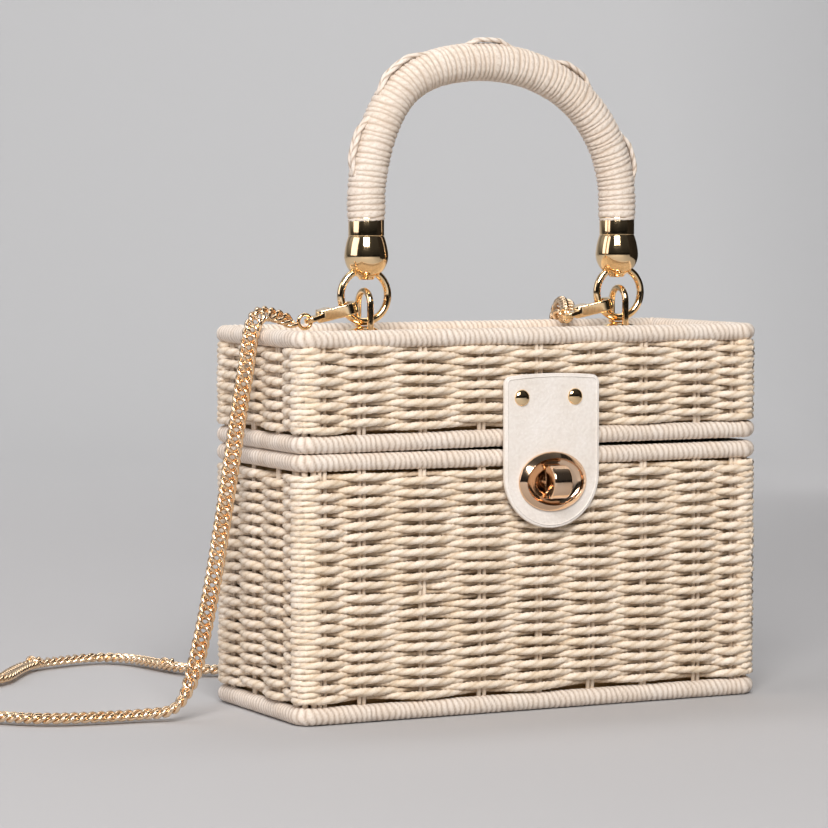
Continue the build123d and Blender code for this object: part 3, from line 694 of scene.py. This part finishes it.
for wall in WALLS:
    cords = weave_wall(f"basket_{wall}_cords", wall, BASKET_LOW, BASKET_ROWS)
    finish_piece(cords, "basket", "weave_cord", f"basket_{wall}_weave")
    cords = weave_wall(f"lid_{wall}_cords", wall, LID_LOW, LID_ROWS)
    finish_piece(cords, "lid", "weave_cord", f"lid_{wall}_weave")
for half, (low, high) in (("basket", BASKET_STAKE_ENDS), ("lid", LID_STAKE_ENDS)):
    parts = [part for wall in WALLS for part in stakes(wall, low, high)]
    finish_piece(mesh_object(f"{half}_stakes", parts, stake_cord), half, "weave_cord")
    posts = corner_rods(f"{half}_corner_rods", low, high)
    finish_piece(posts, half, "weave_cord", f"{half}_corner_posts")
finish_piece(woven_panel("lid_top_cords", LID_PANEL_Z, 1), "lid", "weave_cord", "lid_top_weave")
bottom = woven_panel("basket_bottom_cords", BASKET_PANEL_Z, -1)
finish_piece(bottom, "basket", "weave_cord", "basket_bottom_weave")
finish_piece(rim("basket_bottom_wrap", RIM_R), "basket", "rim_cord", "basket_bottom_rim")
top_rim = rim("basket_top_wrap", BASKET_RIM_Z, lambda x: -seam_gap(x))
finish_piece(top_rim, "basket", "rim_cord", "basket_top_rim")
finish_piece(rim("lid_bottom_wrap", LID_RIM_Z, seam_gap), "lid", "rim_cord", "lid_bottom_rim")
finish_piece(rim("lid_top_wrap", TOP_RIM_Z), "lid", "rim_cord", "lid_top_rim")


# Hinge lashings
def lashing(name, x_mid):
    """Turns of cord side by side round both rear rims."""
    angle = full_turn(40)
    rise = np.sin(angle)
    half_gap = (LID_RIM_Z - BASKET_RIM_Z) / 2
    y = HINGE_Y + LASHING_REACH * np.cos(angle)
    z = HINGE_Z + half_gap * rise + np.sign(rise) * np.abs(rise) ** 0.5 * LASHING_REACH
    up = np.tile(np.array([1.0, 0, 0]), (len(angle), 1))
    twist = np.linspace(0, 8 * np.pi, len(angle), endpoint=False)
    parts = []
    for turn in range(LASHING_TURNS):
        x = x_mid + (turn - (LASHING_TURNS - 1) / 2) * LASHING_PITCH + 0.4 * rise
        across, out, attributes = twisted(LASHING_CORD_R, twist)
        parts.append(sweep(np.stack([x, y, z], -1), up, across, out, True, attributes))
    return mesh_object(name, parts, stake_cord)


for word, side in (("left", -1), ("right", 1)):
    finish_piece(
        lashing(f"hinge_cord_{word}", side * LASHING_X), "basket", "rim_cord", f"hinge_lashing_{word}"
    )


# Handle
def grip_span(arc):
    """Distance of the grip's middle line from its centre: fuller at the left shoulder, flat on top."""
    shoulder = 4.4 * np.exp(-(((arc - 0.86) / 0.4) ** 2))
    return SPAN_X + shoulder - 1.3 * np.exp(-(((arc - 1.8) / 0.5) ** 2))


def grip_wrap():
    """The wound grip: two short legs and the bow between them."""
    leg = GRIP_SPRING_Z - GRIP_START_Z
    total = 2 * leg + math.pi * SPAN_X
    run = np.linspace(0, total, 760)
    arc = np.clip((run - leg) / SPAN_X, 0, math.pi)
    span = grip_span(arc)
    x = SHIFT_X - span * np.cos(arc)
    z = GRIP_SPRING_Z + span * np.sin(arc)
    z = np.where(run < leg, GRIP_START_Z + run, z)
    z = np.where(run > total - leg, GRIP_START_Z + total - run, z)
    points = np.stack([x, 0 * x, z], -1)
    outward = np.stack([-np.cos(arc), 0 * arc, np.sin(arc)], -1)
    taper = 1 - 0.08 * np.exp(-run / 1.5) - 0.08 * np.exp(-(total - run) / 1.5)
    radius = GRIP_R * taper[:, None]
    return wrapped_tube(
        points, outward, radius, GRIP_PITCH, 1, closed=False, sides=72, groove=0.65, rough=0.42, plies=15
    )


# Middle and half width, in degrees from the right, of the places where the over-wrap shows
HUMPS = ((160, 8), (129, 9), (93, 7), (56, 7), (17, 7))


def hump_strands(middle, half):
    """Two strands that surface side by side on the grip's outside."""
    t = np.linspace(-1, 1, 26)
    arc = np.radians(180 - (middle + half * 1.35 * t))
    rise = GRIP_R - 1.0 + HUMP_RISE * smoothstep(1.6 * (1 - np.abs(t)))
    centre = np.stack([SHIFT_X + 0 * arc, 0 * arc, GRIP_SPRING_Z + 0 * arc], -1)
    radial = np.stack([-np.cos(arc), 0 * arc, np.sin(arc)], -1)
    strands = []
    for lane in (-1.25, 1.25):
        points = centre + radial * (grip_span(arc) + rise)[:, None]
        points[:, 1] = lane * (1 + 0.25 * np.cos(3 * t)) - 1.0
        twist = np.linspace(0, 5 * np.pi, len(t)) * np.sign(lane)
        across, out, attributes = twisted(HUMP_CORD_R, twist, 0.8)
        strands.append(sweep(points, radial, across, out, False, attributes))
    return strands


finish_piece(mesh_object("grip_wrap", [grip_wrap()], grip_cord), "handle", "handle_cord", "handle_grip")
parts = [strand for middle, half in HUMPS for strand in hump_strands(middle, half)]
finish_piece(mesh_object("grip_strand", parts, grip_cord), "handle", "handle_cord")


# Turned and bent metal
def arc_points(a, b, c, count):
    """Points of the round arc from a through b to c, without a."""
    (ax, ay), (bx, by), (cx, cy) = a, b, c
    d = 2 * (ax * (by - cy) + bx * (cy - ay) + cx * (ay - by))
    a2, b2, c2 = ax**2 + ay**2, bx**2 + by**2, cx**2 + cy**2
    centre_x = (a2 * (by - cy) + b2 * (cy - ay) + c2 * (ay - by)) / d
    centre_y = (a2 * (cx - bx) + b2 * (ax - cx) + c2 * (bx - ax)) / d
    start, via, end = (math.atan2(y - centre_y, x - centre_x) for x, y in (a, b, c))
    turn = (end - start) % (2 * math.pi)
    if turn < (via - start) % (2 * math.pi):
        turn -= 2 * math.pi
    radius = math.hypot(ax - centre_x, ay - centre_y)
    angles = [start + turn * k / count for k in range(1, count + 1)]
    return [(centre_x + radius * math.cos(t), centre_y + radius * math.sin(t)) for t in angles]


# Outline of a ferrule as (radius, z): foot, ball, neck, bead and collar
FERRULE = [
    *[(0.1, 180.6), (2.9, 180.6), (3.3, 180.9), (3.6, 181.6)],
    *arc_points((3.6, 181.6), (7.95, 185.6), (9.35, 190.6), 14),
    *arc_points((9.35, 190.6), (8.85, 194.4), (7.55, 199.0), 12),
    *[(7.45, 199.05), (7.45, 199.12), (7.6, 199.17), (7.6, 199.3), (7.6, 206.4)],
    *[(7.4, 206.8), (7.1, 207.0), (6.7, 206.8), (6.6, 204.0), (0.1, 203.9)],
]


def ring_wire(x):
    """A closed ring that hangs upright in the staple at x."""
    angle = full_turn(96)
    centre_z = RING_FOOT_Z + RING_R
    line = np.stack([x + RING_R * np.cos(angle), 0 * angle, centre_z + RING_R * np.sin(angle)], -1)
    return rod(line, RING_WIRE / 2, 20, (0, 1, 0), True)


def staple_wire(x):
    """A bow of wire across the bag with both legs through the lid."""
    foot, shoulder = STAPLE_LEG_Z
    bow = np.linspace(0, np.pi, 25)
    y, z = -STAPLE_HALF * np.cos(bow), STAPLE_BEND_Z + STAPLE_HALF * np.sin(bow)
    front_leg = [[x, -STAPLE_HALF, foot], [x, -STAPLE_HALF, shoulder]]
    back_leg = [[x, STAPLE_HALF, shoulder], [x, STAPLE_HALF, foot]]
    line = np.concatenate([front_leg, np.stack([np.full(25, x), y, z], -1), back_leg])
    return rod(line, STAPLE_WIRE_R, 18, (1, 0, 0))


for word, side in (("left", -1), ("right", 1)):
    ferrule = mesh_object(f"ferrule_{word}", [lathe(FERRULE, SHIFT_X + side * SPAN_X, 72)], gold)
    finish_piece(ferrule, "handle", "gold_metal", f"handle_ferrule_{word}")
    ring_x = SHIFT_X + side * RING_X
    ring = mesh_object(f"ring_wire_{word}", [ring_wire(ring_x)], gold)
    finish_piece(ring, "rings", "gold_metal", f"handle_ring_{word}")
    staple = mesh_object(f"staple_wire_{word}", [staple_wire(ring_x)], gold)
    finish_piece(staple, "lid", "gold_metal", f"staple_{word}")


# Leather tab
def tab_outline(inset=0.0):
    """The tab's outline: a full round at the bottom, small corners and a bowed edge at the top."""
    half = TAB_WIDTH / 2 - inset
    corner = max(TAB_CORNER - inset, 0.5)
    top = TAB_TOP_Z - inset
    round_z = TAB_TOP_Z - TAB_LENGTH + TAB_WIDTH / 2
    out = []
    for t in np.linspace(math.pi, 2 * math.pi, 33):
        out.append((TAB_X + half * math.cos(t), round_z + half * math.sin(t)))
    for t in np.linspace(0, math.pi / 2, 9):
        out.append((TAB_X + half - corner + corner * math.cos(t), top - corner + corner * math.sin(t)))
    for t in np.linspace(0.8, -0.8, 9):
        out.append((TAB_X + half * t, top + 0.9 * (1 - (t / 0.88) ** 2)))
    for t in np.linspace(math.pi / 2, math.pi, 9):
        out.append((TAB_X - half + corner + corner * math.cos(t), top - corner + corner * math.sin(t)))
    return out


def lock_hole():
    """Oval opening of the tab behind the bezel."""
    width, height = LOCK_HOLE
    return [(TAB_X + width / 2 * math.cos(t), LOCK_Z + height / 2 * math.sin(t)) for t in full_turn(64)]


def plate(name, outlines, y_back, thickness, bevel, material):
    """A flat plate with rounded edges facing the front, holes cut by the inner outlines."""
    curve = bpy.data.curves.new(name, "CURVE")
    curve.dimensions = "2D"
    curve.fill_mode = "BOTH"
    curve.extrude = (thickness / 2 - bevel) * MM
    curve.bevel_depth = bevel * MM
    curve.bevel_resolution = 4
    curve.offset = -bevel * MM
    for outline in outlines:
        spline = curve.splines.new("POLY")
        spline.points.add(len(outline) - 1)
        for point, (x, z) in zip(spline.points, outline):
            point.co = (x * MM, z * MM, 0, 1)
        spline.use_cyclic_u = True
    holder = linked(bpy.data.objects.new(name + "_curve", curve))
    mesh = evaluated_mesh(holder)
    bpy.data.objects.remove(holder)
    middle = (y_back - thickness / 2) * MM
    mesh.transform(Matrix(((1, 0, 0, 0), (0, 0, -1, middle), (0, 1, 0, 0), (0, 0, 0, 1))))
    mesh.materials.clear()
    mesh.materials.append(material)
    return linked(bpy.data.objects.new(name, mesh))


EDGE_LINE_INSET, EDGE_LINE_Y, EDGE_LINE_R = 1.3, -47.82, 0.38
tab = plate("tab_leather", [tab_outline(), lock_hole()], TAB_BACK_Y, TAB_THICKNESS, 0.55, leather)
finish_piece(tab, "lid", "tab_leather", "lock_tab")
edge = [(x, EDGE_LINE_Y, z) for x, z in tab_outline(EDGE_LINE_INSET)]
edge_line = mesh_object("tab_edge_line", [rod(edge, EDGE_LINE_R, 8, (0, 1, 0), True)], leather)
finish_piece(edge_line, "lid", "tab_leather")


# Lock bezel and rivets, with loops as (half width, half height, y)
BEZEL_EDGE = np.array([16.0, 12.5, -48.6])
BEZEL_CREST = np.array([13.4, 10.0, -50.9])
BEZEL_THROAT = np.array([10.5, 7.8, -48.9])


def bezel_loops():
    """Loops from the bezel's foot over its crest and down into its opening."""
    turns = np.linspace(0.15, math.pi / 2, 9)
    up, down = BEZEL_CREST - BEZEL_EDGE, BEZEL_THROAT - BEZEL_CREST
    rise = [BEZEL_EDGE + up * (np.sin(t), np.sin(t), np.sin(t) ** 0.9) for t in turns]
    fall = [BEZEL_CREST + down * (1 - np.cos(t), 1 - np.cos(t), np.sin(t)) for t in turns]
    foot = [(16.0, 12.5, -47.9), BEZEL_EDGE]
    opening = [(9.0, 6.2, -48.8), (8.3, 5.4, -48.7), (8.2, 5.2, -48.2), (8.2, 5.2, -47.9)]
    return foot + rise + fall + opening


def rivet_loops():
    """Loops of a low dome."""
    turns = np.linspace(0, 1.56, 12)
    return [(RIVET_R * np.cos(t), RIVET_R * np.cos(t), RIVET_FOOT_Y - RIVET_RISE * np.sin(t)) for t in turns]


bezel = mesh_object("lock_bezel_cast", [ovals(TAB_X, LOCK_Z, bezel_loops(), 72)], bronze)
finish_piece(bezel, "lid", "gold_metal", "lock_bezel")
domes = [ovals(TAB_X + offset, RIVET_Z, rivet_loops(), 40) for offset in RIVET_OFFSETS]
finish_piece(mesh_object("tab_rivet_domes", domes, gold), "lid", "gold_metal", "tab_rivets")


# Linings
def lining(name, floor_z, mouth_z):
    """A sewn cloth box, shut at floor_z, slack in its walls, with a rolled hem at its mouth."""
    half_x, half_y = BODY_X / 2 - LINING_INSET, BODY_Y / 2 - LINING_INSET
    t = full_turn(LINING_POINTS)

    def loop(shrink, z, slack=0.0):
        hx, hy, r = half_x - shrink, half_y - shrink, max(LINING_CORNER - shrink, 0.4)
        reach = 1 / np.maximum(np.abs(np.cos(t)) / hx, np.abs(np.sin(t)) / hy)
        x = np.clip(reach * np.cos(t), -hx, hx)
        y = np.clip(reach * np.sin(t), -hy, hy)
        near = np.maximum(np.abs(x) - (hx - r), 0) * np.maximum(np.abs(y) - (hy - r), 0) / r**2
        x -= np.sign(x) * near * r * 0.29
        y -= np.sign(y) * near * r * 0.29
        ripple = np.sin(x * 0.21 + z * 0.05) + 0.6 * np.sin(y * 0.3 - z * 0.12 + x * 0.07) + 1.6
        ripple *= slack / 3.2
        x -= np.sign(x) * ripple * (np.abs(x) > hx - 3)
        y -= np.sign(y) * ripple * (np.abs(y) > hy - 3)
        return np.stack([x, y, np.full(len(t), z)], -1)

    rise = mouth_z - floor_z
    lip = math.copysign(1.0, rise)
    middle = [0.0, 0.0, floor_z + lip * 0.8]
    rings = [np.tile([middle], (len(t), 1)) + loop(half_y - 1, 0) * [0.02, 0.02, 0]]
    rings += [loop(k, floor_z + lip * (0.5 + 0.3 * math.sin(k))) for k in (30, 20, 10, 4, 1.5)]
    rings += [loop(0.5, floor_z + rise * k, 0.9 * math.sin(math.pi * k)) for k in np.linspace(0.02, 0.94, 14)]
    hem = ((0.9, 2.6), (1.1, 1.2), (0.8, 0.2), (0.2, 0), (-0.2, 0.8), (0, 4))
    rings += [loop(shrink, mouth_z - lip * below) for shrink, below in hem]
    rings += [loop(0, floor_z + rise * k) for k in (0.6, 0.3, 0.0)]
    return mesh_object(name, [(np.concatenate(rings), grid(len(rings), len(t), False), {})], lining_cloth)


finish_piece(lining("basket_cloth", 4.1, 105.6), "basket", "lining_cloth", "basket_lining")
finish_piece(lining("lid_cloth", 153.0, 116.4), "lid", "lining_cloth", "lid_lining")


# Chain strap, from the left clasp over the side, round the floor and up the back to the right clasp
ROUTE = [
    (-91.4, 0.0, 162.9), (-101.2, -1.0, 166.9), (-109.6, -4.5, 167.4), (-114.3, -7.0, 159.2),
    (-116.2, -7.8, 146.1), (-119.2, -8.0, 131.1), (-123.5, -8.0, 104.0), (-127.6, -8.0, 80.0),
    (-132.0, -8.2, 56.0), (-137.0, -8.0, 33.0), (-141.5, -7.6, 15.5), (-147.5, -6.5, 4.8),
    (-158.5, -0.5, 3.1), (-177.0, 1.0, 3.1), (-200.0, 5.5, 3.1), (-215.0, 20.5, 3.1), (-231.0, 43.0, 3.1),
    (-241.0, 68.0, 3.1), (-243.4, 92.0, 3.1), (-233.0, 113.0, 3.1), (-212.0, 121.0, 3.1),
    (-191.0, 120.0, 3.1), (-175.0, 127.0, 3.1), (-162.5, 148.0, 3.1), (-149.0, 166.0, 3.1),
    (-131.0, 172.5, 3.1), (-111.0, 176.5, 3.1), (-99.5, 163.0, 3.1), (-95.5, 141.0, 3.1),
    (-91.0, 120.0, 3.1), (-78.0, 109.5, 3.1), (-58.0, 102.0, 3.1), (-28.0, 84.0, 3.1), (6.0, 80.0, 3.1),
    (34.0, 71.0, 3.1), (53.5, 59.5, 6.0), (59.5, 51.5, 20.0), (60.9, 49.3, 44.0), (61.3, 49.9, 66.0),
    (61.1, 49.5, 88.0), (61.3, 49.8, 112.0), (61.0, 49.4, 141.0), (61.3, 50.1, 152.0), (60.9, 49.1, 163.6),
    (59.9, 41.5, 169.4), (56.7, 31.5, 167.6), (50.5, 20.5, 163.4), (42.1, 14.2, 162.6), (39.8, 7.1, 164.0),
]
# Place and number of links of two loose heaps on the floor
KNOTS = ((-147.0, 167.0, 4), (-94.5, 134.0, 4))


def spline_points(route):
    """Points of the smooth line that the route controls."""
    curve = bpy.data.curves.new("strap_line", "CURVE")
    curve.dimensions = "3D"
    spline = curve.splines.new("NURBS")
    spline.points.add(len(route) - 1)
    for point, place in zip(spline.points, route):
        point.co = (*(Vector(place) * MM), 1.0)
    spline.order_u = 3
    spline.use_endpoint_u = True
    spline.resolution_u = 24
    holder = linked(bpy.data.objects.new("strap_line", curve))
    mesh = evaluated_mesh(holder)
    points = np.array([v.co for v in mesh.vertices]) / MM
    bpy.data.objects.remove(holder)
    bpy.data.meshes.remove(mesh)
    return points


def carried_up(forward, first_up):
    """Up directions carried along a line without twisting."""
    up = [unit(np.array(first_up, float) - np.dot(first_up, forward[0]) * forward[0])]
    for direction in forward[1:]:
        up.append(unit(up[-1] - np.dot(up[-1], direction) * direction))
    return np.array(up)


def chain_links(line, reach):
    """Curb links along a line, turned flat where they lie on the floor."""
    count = int(round(reach[-1] / LINK_PITCH))
    runs = (np.arange(count) + 0.5) / count * reach[-1]
    centres = np.stack([np.interp(runs, reach, line[:, k]) for k in range(3)], -1)
    forward = tangents(centres, False)
    up = carried_up(forward, (0, 0, 1))
    roll = (np.pi / 2 * smoothstep((30 - centres[:, 2]) / 24))[:, None]
    up = np.cos(roll) * up + np.sin(roll) * np.cross(forward, up)
    side = np.cross(forward, up)
    phi = full_turn(18)
    quarter = np.pi / 4 * (1 + np.cos(phi))
    shape = LINK_WIDE * np.sin(phi)
    along, across, lift = LINK_LONG * np.cos(phi), shape * np.cos(quarter), shape * np.sin(quarter)
    links = []
    for k in range(count):
        points = centres[k] + along[:, None] * forward[k] + across[:, None] * side[k] + lift[:, None] * up[k]
        links.append(rod(points, LINK_WIRE, 7, up[k] + 0.01, True))
    return links


def knot_links(line, x, y, count):
    """Loose links heaped on the line's point nearest to (x, y)."""
    nearest = line[np.argmin(np.hypot(line[:, 0] - x, line[:, 1] - y))]
    links = []
    for k in range(count):
        turn = Matrix.Rotation(1.1 + 1.9 * k, 3, Vector((0.4, 0.3 + 0.2 * k, 1.0)).normalized())
        oval = [Vector((2.6 * math.cos(t), 2.0 * math.sin(t), 0.8 * math.sin(2 * t))) for t in full_turn(18)]
        shift = np.array([math.cos(2.4 * k), math.sin(2.4 * k), 0.6])
        points = np.array([turn @ point for point in oval]) + nearest + shift
        links.append(rod(points, LINK_WIRE, 7, (0.3, 0.2, 1), True))
    return links


line = spline_points(ROUTE)
reach = np.concatenate([[0], np.cumsum(np.linalg.norm(np.diff(line, axis=0), axis=1))])
links = chain_links(line, reach)
for x, y, count in KNOTS:
    links += knot_links(line, x, y, count)
chain = mesh_object("strap_chain", links, chain_gold)
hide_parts("strap_floor", "strap_left_end", "strap_hinge", "strap_right_end")
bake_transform(chain)


# Cast fittings with softened edges
def softened(name, node, material, voxel, steps):
    """A casting made from a solid's own mesh, with its hard edges rounded."""
    obj = linked(bpy.data.objects.new(name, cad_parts[node].data.copy()))
    remesh = obj.modifiers.new("remesh", "REMESH")
    remesh.mode = "VOXEL"
    remesh.voxel_size = voxel * MM
    smooth = obj.modifiers.new("smooth", "SMOOTH")
    smooth.factor = 0.5
    smooth.iterations = steps
    mesh = evaluated_mesh(obj)
    obj.modifiers.clear()
    obj.data = mesh
    mesh.name = name
    mesh.shade_smooth()
    mesh.materials.clear()
    mesh.materials.append(material)
    return obj


for word in ("left", "right"):
    casting = softened(f"clasp_casting_{word}", f"clasp_body_{word}", gold, 0.32, 5)
    finish_piece(casting, "rings", "gold_metal", f"clasp_body_{word}")
    gate = softened(f"clasp_gate_{word}", f"clasp_lever_{word}", gold, 0.22, 3)
    finish_piece(gate, f"lever_{word}", "gold_metal", f"clasp_lever_{word}")
finish_piece(softened("lock_knob_cast", "lock_knob", bronze, 0.22, 4), "knob", "gold_metal", "lock_knob")


# Finishes of the solids that show as they are
NODE_FINISH = {
    gold: ("clasp_jump_ring_left", "clasp_jump_ring_right", "staple_washer_left", "staple_washer_right"),
    bronze: ("lock_base_plate",),
    steel: ("lock_inner_plate", "lock_backing_plate", "staple_backing_left", "staple_backing_right"),
}
for finish, nodes in NODE_FINISH.items():
    for node in nodes:
        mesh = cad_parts[node].data
        if not mesh.materials:
            mesh.materials.append(finish)
        for k in range(len(mesh.materials)):
            mesh.materials[k] = finish


# Studio: floor with a cove, dark card for the metal's reflections, camera, lamps and world, in metres
FLOOR_WIDTH = 9.0
FLOOR_NEAR, FLOOR_FAR = -4.0, 2.6
COVE_R = 1.2
BACK_HEIGHT = 4.0
VIEW_FORWARD = np.array([0.444, 0.896])
VIEW_ASIDE = np.array([0.896, -0.444])
FLOOR_DROP = 0.0002


def stage_piece(name, verts, faces, material):
    mesh = bpy.data.meshes.new(name)
    mesh.from_pydata(verts, [], faces)
    mesh.shade_smooth()
    mesh.materials.append(material)
    obj = linked(bpy.data.objects.new(name, mesh))
    return obj


def studio_floor():
    """Paper that runs from in front of the bag to behind it and curves up."""
    turns = np.linspace(0.1, math.pi / 2, 14)
    cove = [(FLOOR_FAR - COVE_R + COVE_R * np.sin(t), COVE_R - COVE_R * np.cos(t)) for t in turns]
    profile = [(FLOOR_NEAR, 0.0), (FLOOR_FAR - COVE_R, 0.0), *cove, (FLOOR_FAR, BACK_HEIGHT)]
    verts = []
    for run, z in profile:
        for aside in (-FLOOR_WIDTH / 2, FLOOR_WIDTH / 2):
            verts.append((*(VIEW_FORWARD * run + VIEW_ASIDE * aside), z - FLOOR_DROP))
    faces = [(2 * k, 2 * k + 1, 2 * k + 3, 2 * k + 2) for k in range(len(profile) - 1)]
    return stage_piece("studio_floor", verts, faces, paper_material())


def dark_card():
    """A card at the bag's right that the metal mirrors and the camera doesn't see."""
    x, near, far, high = 0.78, -0.7, 0.78, 1.1
    corners = [(x, near, 0.0), (x, far, 0.0), (x, far, high), (x, near, high)]
    card = stage_piece("dark_card", corners, [(0, 1, 2, 3)], card_material())
    card.visible_camera = False


def photo_camera():
    """The photograph's viewing angle, from the fit to the body's corners."""
    data = bpy.data.cameras.new("camera")
    data.sensor_width = 36.0
    data.lens = 148.57
    data.clip_end = 50
    camera = linked(bpy.data.objects.new("camera", data))
    camera.location = (-0.67904, -1.29913, 0.21199)
    camera.rotation_euler = (math.radians(86.50), math.radians(0.04), math.radians(-26.36))
    bpy.context.scene.camera = camera


def area_light(name, place, target, size, power, colour):
    data = bpy.data.lights.new(name, "AREA")
    data.shape = "RECTANGLE"
    data.size, data.size_y = size
    data.energy = power
    data.color = colour
    light = linked(bpy.data.objects.new(name, data))
    light.location = place
    light.rotation_euler = (Vector(target) - Vector(place)).to_track_quat("-Z", "Y").to_euler()


def studio_world():
    """Soft light from all round: brighter from above and dim from the front."""
    world = bpy.data.worlds.new("studio")
    bpy.context.scene.world = world
    world.use_nodes = True
    nodes, links = world.node_tree.nodes, world.node_tree.links
    background = nodes["Background"]
    background.inputs["Strength"].default_value = 0.44
    direction = nodes.new("ShaderNodeTexCoord")
    split = nodes.new("ShaderNodeSeparateXYZ")
    links.new(direction.outputs["Generated"], split.inputs[0])
    sky = nodes.new("ShaderNodeValToRGB")
    links.new(split.outputs["Z"], sky.inputs["Fac"])
    sky.color_ramp.elements.new(0.3)
    # The third stop stays plain white, straight up
    for element, place, grey in zip(sky.color_ramp.elements, (0.05, 0.3), (0.12, 0.7)):
        element.position = place
        element.color = (grey, grey, grey * 1.01, 1)
    behind = nodes.new("ShaderNodeMapRange")
    behind.interpolation_type = "SMOOTHSTEP"
    for key, value in (("From Min", -0.5), ("From Max", 0.7), ("To Min", 0.12)):
        behind.inputs[key].default_value = value
    links.new(split.outputs["Y"], behind.inputs["Value"])
    shade = nodes.new("ShaderNodeMix")
    shade.data_type = "RGBA"
    shade.blend_type = "MULTIPLY"
    shade.inputs[0].default_value = 1.0
    links.new(sky.outputs["Color"], shade.inputs[6])
    links.new(behind.outputs["Result"], shade.inputs[7])
    links.new(shade.outputs[2], background.inputs["Color"])


studio_floor()
dark_card()
photo_camera()
area_light("key", (-0.9, -1.9, 1.7), (0, 0, 0.12), (1.3, 1.1), 76, (1.0, 0.975, 0.955))
area_light("fill", (-2.2, 0.2, 1.0), (0, 0, 0.12), (1.6, 1.4), 12, (1.0, 0.955, 0.99))
area_light("back", (0.5, 0.8, 2.3), (0.7, 2.4, 0.9), (2.8, 1.6), 42, (1, 1, 1))
studio_world()
bpy.context.scene.view_settings.view_transform = "Standard"
